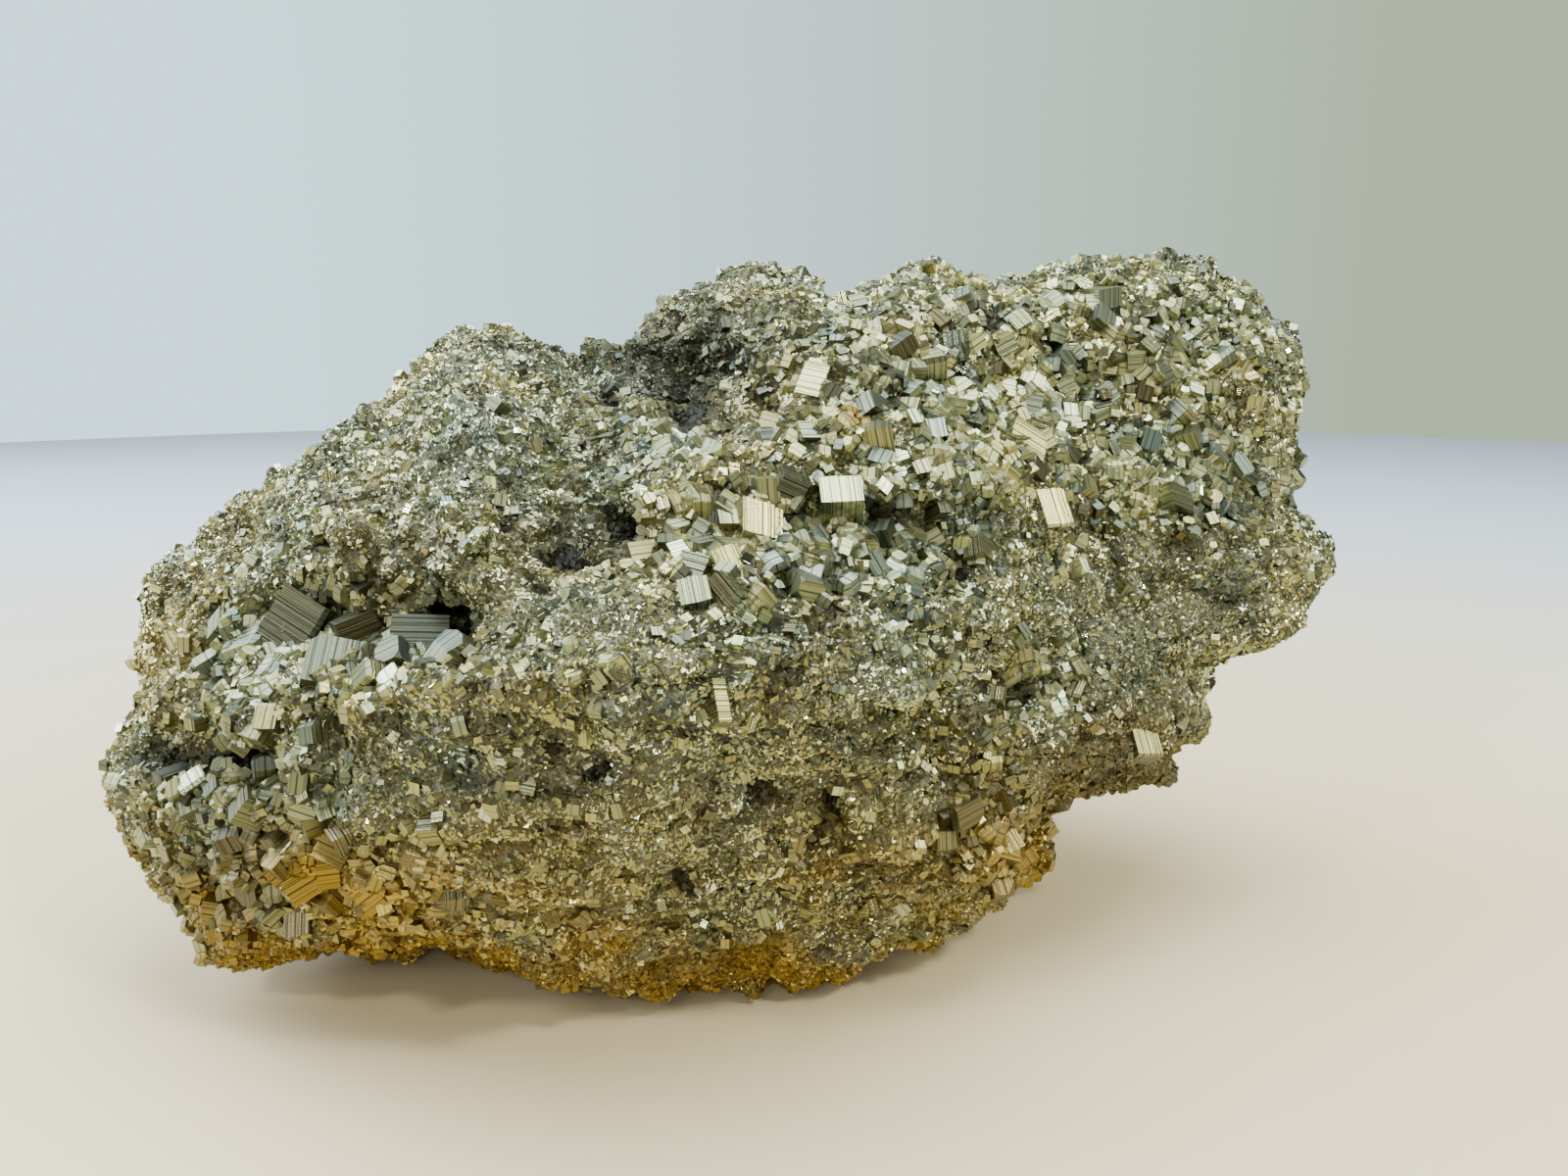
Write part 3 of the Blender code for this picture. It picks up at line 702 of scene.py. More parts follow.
def creased_noise(points, spacing, creased, seed):
    """Noise mixed with lumps that part at sharp creases: gain * |noise| - drop, lowest where it is zero."""
    noise = smooth_noise(points, spacing, seed)
    lumps = CREASE_GAIN * np.abs(noise) - CREASE_DROP
    return noise + (lumps - noise) * creased


def pit_depth(places, x, z):
    """Depth of the photo's dark pits in mm, with places shifted by noise, so that their edges are ragged."""
    shift_x = PIT_RAGGED * smooth_noise(places, PIT_PATCH, SEED)
    shift_z = PIT_RAGGED * smooth_noise(places, PIT_PATCH, SEED + 1)
    return bumps(PITS, x + shift_x, z + shift_z)


def skin_shape():
    """The stone's skin as a grid on the sphere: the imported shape, set in, with finer lumps and pits."""
    directions, squares = cube_sphere(SKIN_CELLS)
    places = stone_surface(directions)
    normals = corner_normals(places, squares)
    x, z = chart_place(directions)
    front = directions[:, 1] < 0.0
    rise = np.zeros(len(places))
    for number, (spacing, height, creased) in enumerate(SKIN_LUMPS):
        rise += height * creased_noise(places, np.array(spacing) * MM, creased, SEED + number)
    pits = np.where(front, pit_depth(places, x, z), 0.0)
    places = inside_box(places + normals * (rise - pits - SKIN_DEPTH / MM)[:, None] * MM)
    return Skin(places, corner_normals(places, squares), squares, x, z, front, -rise)


def inside_box(places):
    """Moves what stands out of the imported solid's box, or below the ground, onto the box."""
    low, high = (np.array(corner) for corner in cad_box)
    return places.clip(low + BOX_MARGIN, high - BOX_MARGIN)


def painted_shade_at(places, x, z, front, low):
    """Painted shade on the stone, from 0 to 1: in the photo's dark hollows and pits, and in all deep creases.
    """
    dirt = bumps(FRONT_PAINTED_SHADE, x, z) + pit_depth(places, x, z) / FULLY_SHADED_PIT
    # Painted shade in the skin's creases, deeper below their level
    creases = (CREASE_PAINTED_SHADE * (low - CREASE_LEVEL)).clip(0.0, MOST_CREASE_PAINTED_SHADE)
    return (np.where(front, dirt, 0.0) + creases).clip(0.0, 1.0)


def rust_and_reflection_at(places, x, z, front):
    """Rust and painted warm reflection, from 0 to 1: at the foot, in ragged patches, and where the photo shows
    them.
    """
    # Towards the foot, partly rust and partly a painted warm reflection
    low = (RUST_AND_REFLECTION_TOP - places[:, 2]) / (RUST_AND_REFLECTION_TOP - RUST_AND_REFLECTION_FOOT)
    even = low.clip(0.0, 1.0) ** RUST_AND_REFLECTION_POWER
    patches = smooth_noise(places, RUST_AND_REFLECTION_PATCH, SEED)
    patches += FINE_RUST_AND_REFLECTION_SHARE * smooth_noise(places, FINE_RUST_AND_REFLECTION_PATCH, SEED + 1)
    ragged = RUST_AND_REFLECTION_RAGGED * (low + RUST_AND_REFLECTION_REACH).clip(0.0, 1.0) * patches
    shown = np.where(front, bumps(FRONT_RUST_AND_REFLECTION, x, z), 0.0)
    return (even + ragged + shown).clip(0.0, 1.0)


def scatter(skin, count, rng):
    """Random spots spread evenly over the skin: a triangle picked by its area, and a random place in it."""
    triangles = np.concatenate([skin.squares[:, [0, 1, 2]], skin.squares[:, [0, 2, 3]]])
    first, second, third = (skin.places[triangles[:, corner]] for corner in range(3))
    area = np.linalg.norm(np.cross(second - first, third - first), axis=1)
    chosen = triangles[rng.choice(len(area), count, p=area / area.sum())]
    share = np.sort(rng.random((count, 2)), axis=1)
    weights = np.stack([share[:, 0], share[:, 1] - share[:, 0], 1.0 - share[:, 1]], axis=1)
    place = (skin.places[chosen] * weights[..., None]).sum(axis=1)
    normal = (skin.normals[chosen] * weights[..., None]).sum(axis=1)
    normal /= np.linalg.norm(normal, axis=1, keepdims=True)
    x = (skin.x[chosen] * weights).sum(axis=1)
    z = (skin.z[chosen] * weights).sum(axis=1)
    low = (skin.low[chosen] * weights).sum(axis=1)
    return Spots(place, normal, x, z, skin.front[chosen[:, 0]], low)


def pick(group, keep):
    """The same spots or crystals with only some kept."""
    return type(group)(*(values[keep] for values in group))


def joined(groups):
    """Several groups of spots or crystals as one."""
    return type(groups[0])(*(np.concatenate(values) for values in zip(*groups)))


def turns_about(axis, angle):
    """Matrices that turn about X, Y or Z, given as 0, 1 or 2: cosines and sines in the other two rows."""
    turn = np.zeros((len(angle), 3, 3))
    after, before = (axis + 1) % 3, (axis + 2) % 3
    turn[:, axis, axis] = 1.0
    turn[:, after, after] = turn[:, before, before] = np.cos(angle)
    turn[:, before, after] = np.sin(angle)
    turn[:, after, before] = -turn[:, before, after]
    return turn


def euler_turns(degrees):
    """Matrices for turns about X, then Y, then Z."""
    about_x, about_y, about_z = (turns_about(axis, np.radians(degrees[:, axis])) for axis in range(3))
    return about_z @ about_y @ about_x


def leaning_turns(normals, most_lean, rng):
    """Turns that spin a crystal about Z, lean it by up to most_lean degrees, and bring its Z to a normal."""
    least_axes = np.eye(3)[np.abs(normals).argmin(axis=1)]
    side = np.cross(normals, least_axes)
    side /= np.linalg.norm(side, axis=1, keepdims=True)
    upright = np.stack([side, np.cross(normals, side), normals], axis=-1)
    count = len(normals)
    spin, aside = rng.uniform(0.0, 2.0 * math.pi, (2, count))
    lean = rng.uniform(0.0, math.radians(most_lean), count)
    return upright @ turns_about(2, aside) @ turns_about(0, lean) @ turns_about(2, spin)


def thinned(spots, spacing, rng):
    """Keeps one spot in each cell of a turned grid: about the one that is nearest to the cell's middle."""
    turned = spots.place @ euler_turns(rng.uniform(0.0, FULL_TURN, (1, 3)))[0] / spacing
    cell = np.floor(turned).astype(np.int64)
    off_middle = np.linalg.norm(turned - cell - 0.5, axis=1) + CELL_JITTER * rng.random(len(turned))
    order = np.lexsort((off_middle, cell[:, 2], cell[:, 1], cell[:, 0]))
    ordered = cell[order]
    is_first = np.ones(len(order), bool)
    is_first[1:] = (ordered[1:] != ordered[:-1]).any(axis=1)
    return pick(spots, order[is_first])


def coarseness(spots):
    """How coarse the crystals are at each spot, from 0 to 1, with a ragged edge to each coarse place."""
    front, back = (bumps(table, spots.x, spots.z) for table in (FRONT_COARSE, BACK_COARSE))
    ragged = COARSE_RAGGED * smooth_noise(spots.place, COARSE_PATCH, SEED)
    return (COARSE_GAIN * np.where(spots.front, front, back) + ragged).clip(0.0, 1.0)


def clear_of(place, others):
    """Which places are outside the cores of the other crystals, judged by distance to their middles."""
    clear = np.ones(len(place), bool)
    middles = others.place.astype(np.float32)
    core_squared = (CORE_SHARE * others.edges.mean(axis=1).astype(np.float32)) ** 2
    for start in range(0, len(place), ROWS_AT_ONCE):
        rows = place[start : start + ROWS_AT_ONCE].astype(np.float32)
        distance_squared = (rows**2).sum(axis=1)[:, None] + (middles**2).sum(axis=1) - 2.0 * rows @ middles.T
        clear[start : start + ROWS_AT_ONCE] = (distance_squared > core_squared).all(axis=1)
    return clear


def open_spots(skin, size, others, rng):
    """Spots for crystals of one size: spaced out, likelier in coarse places, and clear of larger crystals."""
    _, _, spacing, share_fine, share_coarse = CRYSTAL_SIZES[size]
    area = SKIN_AREA / (spacing * MM) ** 2
    spots = scatter(skin, int(area * CANDIDATES_PER_GRAIN), rng)
    groups = []
    for front, wider in ((True, 1.0), (False, BACK_SPACING)):
        kept = thinned(pick(spots, spots.front == front), wider * spacing * MM, rng)
        chance = share_fine + (share_coarse - share_fine) * coarseness(kept) ** COARSE_POWERS[size]
        groups.append(pick(kept, rng.random(len(chance)) < chance))
    spots = joined(groups)
    bare = spots.front & (pit_depth(spots.place, spots.x, spots.z) > BARE_PIT)
    return pick(spots, ~bare & (spots.place[:, 2] > GROUND_GAP) & clear_of(spots.place, others))


def leaning(turns, most_lean, rng):
    """The same turns with each crystal first leaned by up to most_lean degrees to a random side."""
    aside = rng.uniform(0.0, 2.0 * math.pi, len(turns))
    lean = rng.uniform(0.0, math.radians(most_lean), len(turns))
    return turns @ turns_about(2, aside) @ turns_about(0, lean) @ turns_about(2, -aside)


def lattice_turns(places):
    """The turn that all crystals of one area share, drawn for the cell that a place moved by noise is in."""
    shift = np.stack([smooth_noise(places, LATTICE_TONGUE, SEED + axis) for axis in range(3)], axis=-1)
    cells = np.floor((places + LATTICE_RAGGED * shift) / LATTICE_AREA).astype(np.int64)
    shares = np.stack([cell_values(cells, SEED + axis) for axis in range(3)], axis=-1)
    return euler_turns(FULL_TURN / 2 * shares)


def corner_edges():
    """Unit edges that run down from the tip of a cube that stands on its corner.

    They leave the tip at equal angles, sqrt(2/3) sideways and sqrt(1/3) down.
    """
    around = np.arange(3) * (2.0 * math.pi / 3.0)
    sideways = math.sqrt(2.0 / 3.0)
    down = np.full(3, -math.sqrt(1.0 / 3.0))
    return np.stack([sideways * np.cos(around), sideways * np.sin(around), down], axis=1)


def corner_turns(turns, normals):
    """Turns for cube corners on turned lattices: each tip points along the diagonal that faces out most.

    For each of the eight diagonals, one matrix brings the three edges at the tip onto the lattice's axes.
    """
    edges = corner_edges()
    signs = np.array(list(itertools.product((-1.0, 1.0), repeat=3)))
    onto_lattice = []
    for sign in signs:
        lattice_edges = np.diag(-sign)
        if np.linalg.det(lattice_edges) * np.linalg.det(edges) < 0.0:
            lattice_edges = lattice_edges[[0, 2, 1]]
        onto_lattice.append(lattice_edges.T @ edges)
    facing = np.einsum("nij,kj,ni->nk", turns, signs, normals)
    return turns @ np.array(onto_lattice)[facing.argmax(axis=1)]


def tints_at(places, rng):
    """Tints from 0 to 1, partly each crystal's own and partly noise that it shares with its neighbours."""
    shared = MEAN_TINT + TINT_CONTRAST * smooth_noise(places, TINT_PATCH, SEED)
    return (TINT_SHARED * shared + (1.0 - TINT_SHARED) * rng.random(len(places))).clip(0.0, 1.0)


def crystals_on(spots, size, on_corners, rng):
    """Crystals of one size on the spots, a little in or out of the skin, as blocks or as cube corners."""
    smallest, largest = CRYSTAL_SIZES[size][:2]
    count = len(spots.place)
    edge = smallest + (largest - smallest) * rng.random((count, 1)) ** SIZE_POWER
    edges = edge * rng.uniform(*EDGE_RANGE, (count, 3)) * MM
    place = spots.place + spots.normal * rng.uniform(*CRYSTAL_RISE, (count, 1)) * edge * MM
    where = (spots.place, spots.x, spots.z, spots.front)
    own_turn = leaning_turns(spots.normal, CORNER_LEAN if on_corners else BLOCK_LEAN, rng)
    lattice_turn = lattice_turns(spots.place)
    if on_corners:
        lattice_turn = corner_turns(lattice_turn, spots.normal)
    on_lattice = rng.random(count) < LATTICE_SHARES[size]
    turn = np.where(on_lattice[:, None, None], leaning(lattice_turn, LATTICE_LEAN, rng), own_turn)
    gloss = rng.random(count) ** GLOSS_POWERS[size]
    tint = tints_at(place, rng)
    return Crystals(place, turn, edges, tint, gloss, painted_shade_at(*where, spots.low), rust_and_reflection_at(*where))


def directions_at(x, z, front):
    """Directions from the hub whose points on the girth plane are x, z in mm, to the front or the back."""
    offset = np.stack([x, z], axis=-1) * MM - np.array(HUB)
    angle = np.arctan2(offset[:, 1], offset[:, 0])
    share = np.minimum(np.linalg.norm(offset, axis=1) / girth_radius(angle), MOST_CRYSTAL_SHARE)
    depth = np.sqrt(1.0 - share**2) * (-1.0 if front else 1.0)
    return np.stack([share * np.cos(angle), depth, share * np.sin(angle)], axis=-1)


def outward(directions):
    """Unit normals of the stone at the directions, each from four directions around it."""
    least_axes = np.eye(3)[np.abs(directions).argmin(axis=1)]
    side = np.cross(directions, least_axes)
    side *= NORMAL_STEP / np.linalg.norm(side, axis=1, keepdims=True)
    other = np.cross(directions, side)
    across = stone_surface(directions + side) - stone_surface(directions - side)
    along = stone_surface(directions + other) - stone_surface(directions - other)
    normal = np.cross(across, along)
    normal /= np.linalg.norm(normal, axis=1, keepdims=True)
    return normal * np.sign((normal * directions).sum(axis=1))[:, None]


def grown(x, z, front, edges, turns, sunk, tint, gloss):
    """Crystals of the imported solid, whose middles are a little inside its surface."""
    directions = directions_at(x, z, front)
    depth = sunk * edges.min(axis=1, keepdims=True) * MM
    place = stone_surface(directions) - outward(directions) * depth
    where = (place, x, z, np.full(len(x), front))
    dirt = painted_shade_at(*where, np.zeros(len(x)))
    return Crystals(place, euler_turns(turns), edges * MM, tint, gloss, dirt, rust_and_reflection_at(*where))


def patch_crystals(table, front, rng):
    """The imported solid's patches of large crystals, each spread evenly over an ellipse.

    A crystal takes seven draws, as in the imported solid: one for its size, three for its edges and three for
    its turns. Tint and gloss are drawn apart, so that these stay the same.
    """
    found = []
    for middle_x, middle_z, half_width, half_height, count, mean_edge in table.values():
        number = np.arange(count)
        radius = np.sqrt((number + 0.5) / count)
        angle = number * GOLDEN_ANGLE
        x = middle_x + half_width * radius * np.cos(angle)
        z = middle_z + half_height * radius * np.sin(angle)
        draws = rng.random((count, 7))
        edge = mean_edge * (1.0 + SIZE_SPREAD * (2.0 * draws[:, :1] - 1.0))
        edges = edge * (1.0 + EDGE_SPREAD * (2.0 * draws[:, 1:4] - 1.0))
        own_rng = np.random.default_rng(count)
        tint, gloss = (own_rng.uniform(*values, count) for values in (PATCH_TINTS, PATCH_GLOSSES))
        found.append(grown(x, z, front, edges, MOST_TURN * draws[:, 4:], PATCH_SUNK, tint, gloss))
    return joined(found)


def named_crystals():
    """The crystals that stand out in the photo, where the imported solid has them."""
    rows = list(NAMED_CRYSTALS.values())
    x, z = np.array([row[:2] for row in rows], float).T
    edges, turns = (np.array([row[column] for row in rows], float) for column in (2, 3))
    tint, gloss = np.array([row[4:] for row in rows]).T
    return grown(x, z, True, edges, turns, NAMED_SUNK, tint, gloss)


def habit_planes(cube, pyritohedron, octahedron):
    """Normals of up to three sets of planes, and their distances from the middle.

    The cube has 6 planes, the pyritohedron 12 with normals like (1, 2, 0) and the octahedron 8, and a set
    whose distance is None is left out.
    """
    signs = list(itertools.product((-1.0, 1.0), repeat=3))
    sets = (
        (cube, [np.roll((sign, 0.0, 0.0), axis) for sign in (-1.0, 1.0) for axis in range(3)]),
        (pyritohedron, [np.roll((s, 2.0 * t, 0.0), axis) for s, t, _ in signs[::2] for axis in range(3)]),
        (octahedron, signs),
    )
    normals = np.concatenate([np.array(found) for distance, found in sets if distance])
    normals /= np.linalg.norm(normals, axis=1, keepdims=True)
    return normals, np.concatenate([np.full(len(found), distance) for distance, found in sets if distance])


def solid_inside(normals, distances):
    """Corners and faces of the solid that planes bound.

    A corner is where three planes meet that no other plane cuts off, and a face's corners are put in order by
    their angle around its normal.
    """
    triples = np.array(list(itertools.combinations(range(len(normals)), 3)))
    triples = triples[np.abs(np.linalg.det(normals[triples])) > TOUCHING]
    corners = np.linalg.solve(normals[triples], distances[triples][..., None])[..., 0]
    corners = corners[(corners @ normals.T <= distances + TOUCHING).all(axis=1)]
    corners = np.unique(corners.round(FORM_DECIMALS), axis=0)
    faces = []
    for normal, distance in zip(normals, distances):
        on_face = np.flatnonzero(np.abs(corners @ normal - distance) < 2 * TOUCHING)
        if len(on_face) < 3:
            continue
        from_middle = corners[on_face] - corners[on_face].mean(axis=0)
        side = from_middle[0]
        angle = np.arctan2(from_middle @ np.cross(normal, side), from_middle @ side)
        faces.append(on_face[np.argsort(angle)])
    return corners, faces


def crystal_form(cube, pyritohedron, octahedron, unevenness, rng):
    """A crystal of one habit, each of its planes a little nearer or further than its set's distance."""
    normals, distances = habit_planes(cube, pyritohedron, octahedron)
    distances *= 1.0 + unevenness * rng.uniform(-1.0, 1.0, len(distances))
    corners, faces = solid_inside(normals, distances)
    return Form(corners / 2.0, faces, face_tints(faces, rng), False)


def striated_form(rng):
    """A prism that is a stack of plates, each a little wider or narrower than the next.

    Its outline has six corners, a square with two opposite ones cut off, carried along Z from plate to plate.
    """
    cut = rng.uniform(*CUT_CORNER)
    outline = np.array([(-1, -1), (1 - cut, -1), (1, cut - 1), (1, 1), (cut - 1, 1), (-1, 1 - cut)]) / 2.0
    width = 1.0 - PLATE_STEP * rng.random(PLATES) ** 2
    width[-1] *= 1.0 - END_STEP * rng.random()
    level = np.concatenate([[0.0], rng.uniform(*PLATE_HEIGHTS, PLATES).cumsum()])
    level = level / level[-1] - 0.5
    ring_width = np.repeat(width, 2)
    ring_level = np.stack([level[:-1], level[1:]], axis=1).ravel()
    flat = outline[None] * ring_width[:, None, None]
    height = np.broadcast_to(ring_level[:, None, None], (2 * PLATES, len(outline), 1))
    corners = np.concatenate([flat, height], axis=2).reshape(-1, 3)
    ring = np.arange(2 * PLATES * len(outline)).reshape(2 * PLATES, len(outline))
    after = np.roll(ring, -1, axis=1)
    sides = np.stack([ring[:-1], after[:-1], after[1:], ring[1:]], axis=-1).reshape(-1, 4)
    side_tints = np.tile(face_tints(outline, rng), 2 * PLATES - 1)
    end_tints = face_tints((0, 1), rng)
    return Form(corners, [*sides, ring[0][::-1], ring[-1]], np.concatenate([side_tints, end_tints]), True)


def corner_form(rng):
    """A cube's corner that stands out of the stone: three faces that meet squarely at the tip, and a base."""
    tip = np.array([[0.0, 0.0, CORNER_TIP]])
    corners = np.concatenate([tip, tip + corner_edges() * rng.uniform(*CORNER_LENGTHS, (3, 1))])
    faces = [np.array(face) for face in ((0, 1, 2), (0, 2, 3), (0, 3, 1), (1, 3, 2))]
    return Form(corners, faces, face_tints(faces, rng), False)


def face_tints(faces, rng):
    """How much lighter or darker each face of a form is than its crystal."""
    return FACE_TINTS * rng.uniform(-1.0, 1.0, len(faces))


def stripe_axis(form):
    """For each corner of each face, the axis across which the face's fine stripes follow each other."""
    axes = []
    for face in form.faces:
        corners = form.corners[face]
        normal = np.abs(np.cross(corners[1] - corners[0], corners[2] - corners[1]))
        facing = int(normal.argmax())
        across = 2 if form.is_prism and facing != 2 else (facing + 1) % 3
        axes.append(np.full(len(face), across))
    return np.concatenate(axes)


def crystal_arrays(forms, crystals):
    """Arrays for a mesh of many crystals: corners, faces, and the values that the material reads.

    Each crystal takes a form in turn, scaled by its edges, turned, and moved to its place.
    """
    parts = {key: [] for key in ("places", "loops", "sizes", *FACE_VALUES, *POINT_VALUES)}
    placed = 0
    for number, form in enumerate(forms):
        mine = pick(crystals, slice(number, None, len(forms)))
        count = len(mine.place)
        local = form.corners[None] * mine.edges[:, None]
        places = mine.place[:, None] + np.einsum("nij,nkj->nki", mine.turn, local)
        loop = np.concatenate(form.faces)
        sizes = [len(face) for face in form.faces]
        first = placed + np.arange(count) * len(form.corners)
        parts["places"].append(places.reshape(-1, 3))
        parts["loops"].append((loop[None] + first[:, None]).ravel())
        parts["sizes"].append(np.tile(sizes, count))
        parts["tint"].append((mine.tint[:, None] + np.repeat(form.tints, sizes)[None]).ravel())
        parts["stripe_mm"].append((local[:, loop, stripe_axis(form)] / MM).ravel())
        coarse = (mine.edges.mean(axis=1) / (FULL_STRIPES * MM)).clip(0.0, 1.0)
        for key, values in zip(POINT_VALUES, (mine.gloss, mine.dirt, mine.rust, coarse)):
            parts[key].append(np.repeat(values, len(form.corners)))
        placed += count * len(form.corners)
    return {key: np.concatenate(values) for key, values in parts.items()}


def crystal_piece(name, forms, crystals, material):
    """One piece of many crystals."""
    whole = crystal_arrays(forms, crystals)
    piece = make_piece(name, inside_box(whole["places"]), whole["loops"], whole["sizes"], material)
    for value in FACE_VALUES:
        add_values(piece.data, value, "CORNER", whole[value])
    for value in POINT_VALUES:
        add_values(piece.data, value, "POINT", whole[value])


def make_piece(name, places, loops, sizes, material):
    """A piece from its corners, the corners of each face one after another, and how many each face has."""
    mesh = bpy.data.meshes.new(name)
    mesh.vertices.add(len(places))
    mesh.vertices.foreach_set("co", places.astype(np.float32).ravel())
    mesh.loops.add(len(loops))
    mesh.loops.foreach_set("vertex_index", loops.astype(np.int32))
    mesh.polygons.add(len(sizes))
    mesh.polygons.foreach_set("loop_start", (np.cumsum(sizes) - sizes).astype(np.int32))
    mesh.update(calc_edges=True)
    mesh.shade_flat()
    mesh.materials.append(material)
    piece = bpy.data.objects.new(name, mesh)
    bpy.context.scene.collection.objects.link(piece)
    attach(piece, "root")
    return piece


def add_values(mesh, name, domain, values):
    """Stores one number for each point or face corner, for a material to read."""
    attribute = mesh.attributes.new(name, "FLOAT", domain)
    attribute.data.foreach_set("value", values.astype(np.float32))


def skin_piece(skin, material):
    """The stone's skin, which shows between the grains."""
    sizes = np.full(len(skin.squares), 4)
    piece = make_piece("stone_skin", skin.places, skin.squares.ravel(), sizes, material)
    where = (skin.places, skin.x, skin.z, skin.front)
    # Painted shade, and rust with a painted warm reflection, for the skin's material
    add_values(piece.data, "dirt", "POINT", painted_shade_at(*where, skin.low))
    add_values(piece.data, "rust", "POINT", rust_and_reflection_at(*where))
    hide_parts("pyrite_cluster")


def triangles_in(forms):
    """The mean number of triangles of a form."""
    return sum(len(face) - 2 for form in forms for face in form.faces) / len(forms)


def crystal_pieces(name, forms, crystals, material):
    """Pieces that share the crystals from left to right, each under the limit of triangles."""
    order = np.argsort(crystals.place[:, 0])
    count = math.ceil(len(order) * triangles_in(forms) / MOST_TRIANGLES)
    for number, run in enumerate(np.array_split(order, count)):
        label = name if count == 1 else f"{name}_{number + 1}"
        crystal_piece(label, forms, pick(crystals, run), material)


def linear(colour):
    """An sRGB hex colour as linear red, green, blue and alpha, by the standard's own curve."""
    shares = [int(colour[start : start + 2], 16) / 255 for start in (1, 3, 5)]
    curve = [share / 12.92 if share <= 0.04045 else ((share + 0.055) / 1.055) ** 2.4 for share in shares]
    return (*curve, 1.0)


def add(tree, kind, inputs=None, **settings):
    """Adds a node with its settings, and sets each input to a value or links it to another node's output."""
    node = tree.nodes.new(kind)
    for name, value in settings.items():
        setattr(node, name, value)
    for name, value in (inputs or {}).items():
        if isinstance(value, bpy.types.NodeSocket):
            tree.links.new(value, node.inputs[name])
        else:
            node.inputs[name].default_value = value
    return node


def new_material(name):
    """A material, its node tree, and the place on the object that is being coloured."""
    material = bpy.data.materials.new(name)
    material.use_nodes = True
    tree = material.node_tree
    tree.nodes.clear()
    return material, tree, add(tree, "ShaderNodeTexCoord").outputs["Object"]


def surface(tree, kind, inputs):
    """Adds a shader node and makes it the material's surface."""
    shader = add(tree, kind, inputs)
    add(tree, "ShaderNodeOutputMaterial", {"Surface": shader.outputs[0]})


def stored(tree, name):
    """A value that the mesh stores."""
    return add(tree, "ShaderNodeAttribute", attribute_name=name).outputs["Fac"]


def soft_noise(tree, place, size, detail):
    """Soft noise in patches of one size, with this many finer layers."""
    inputs = {"Vector": place, "Scale": 1.0 / size, "Detail": detail}
    return add(tree, "ShaderNodeTexNoise", inputs).outputs["Fac"]


def mapped(tree, value, from_low, from_high, to_low=0.0, to_high=1.0):
    """A value carried from one range to another, and held at its ends."""
    inputs = {
        "Value": value,
        "From Min": from_low, "From Max": from_high,
        "To Min": to_low, "To Max": to_high,
    }
    return add(tree, "ShaderNodeMapRange", inputs).outputs["Result"]


def product(tree, first, second):
    """Two numbers multiplied."""
    return add(tree, "ShaderNodeMath", {0: first, 1: second}, operation="MULTIPLY").outputs[0]


def blended(tree, share, first, second, blend="MIX"):
    """Two colours mixed by a share of the second, or multiplied by that share."""
    inputs = {0: share, 6: first, 7: second}
    return add(tree, "ShaderNodeMix", inputs, data_type="RGBA", blend_type=blend).outputs[2]


def bump(tree, inputs):
    """The way that a surface with a fine relief faces."""
    return add(tree, "ShaderNodeBump", inputs).outputs["Normal"]


def ramp(tree, factor, stops):
    """A colour ramp from places and sRGB hex colours."""
    node = add(tree, "ShaderNodeValToRGB", {"Fac": factor})
    elements = node.color_ramp.elements
    while len(elements) < len(stops):
        elements.new(1.0)
    for element, (place, colour) in zip(elements, stops):
        element.position = place
        element.color = linear(colour)
    return node.outputs["Color"]


def weathered_with_painted_light(tree, place, colour, roughness):
    """Films over a clean colour and roughness: a faint cast, ochre rust with a painted warm reflection, and
    near-black painted shade.

    The cast changes slowly over the stone, from cool to warm. The mesh stores how much rust and reflection and
    how much painted shade it has, from 0 to 1, and both make it duller.
    """
    cast = ramp(tree, soft_noise(tree, place, CAST_PATCH, CAST_DETAIL), CASTS)
    colour = blended(tree, 1.0, colour, cast, "MULTIPLY")
    for name, (film, most, film_roughness) in FILMS.items():
        amount = product(tree, stored(tree, name), most)
        colour = blended(tree, amount, colour, linear(film))
        inputs = {0: amount, 2: roughness, 3: film_roughness}
        roughness = add(tree, "ShaderNodeMix", inputs, data_type="FLOAT").outputs[0]
    return colour, roughness


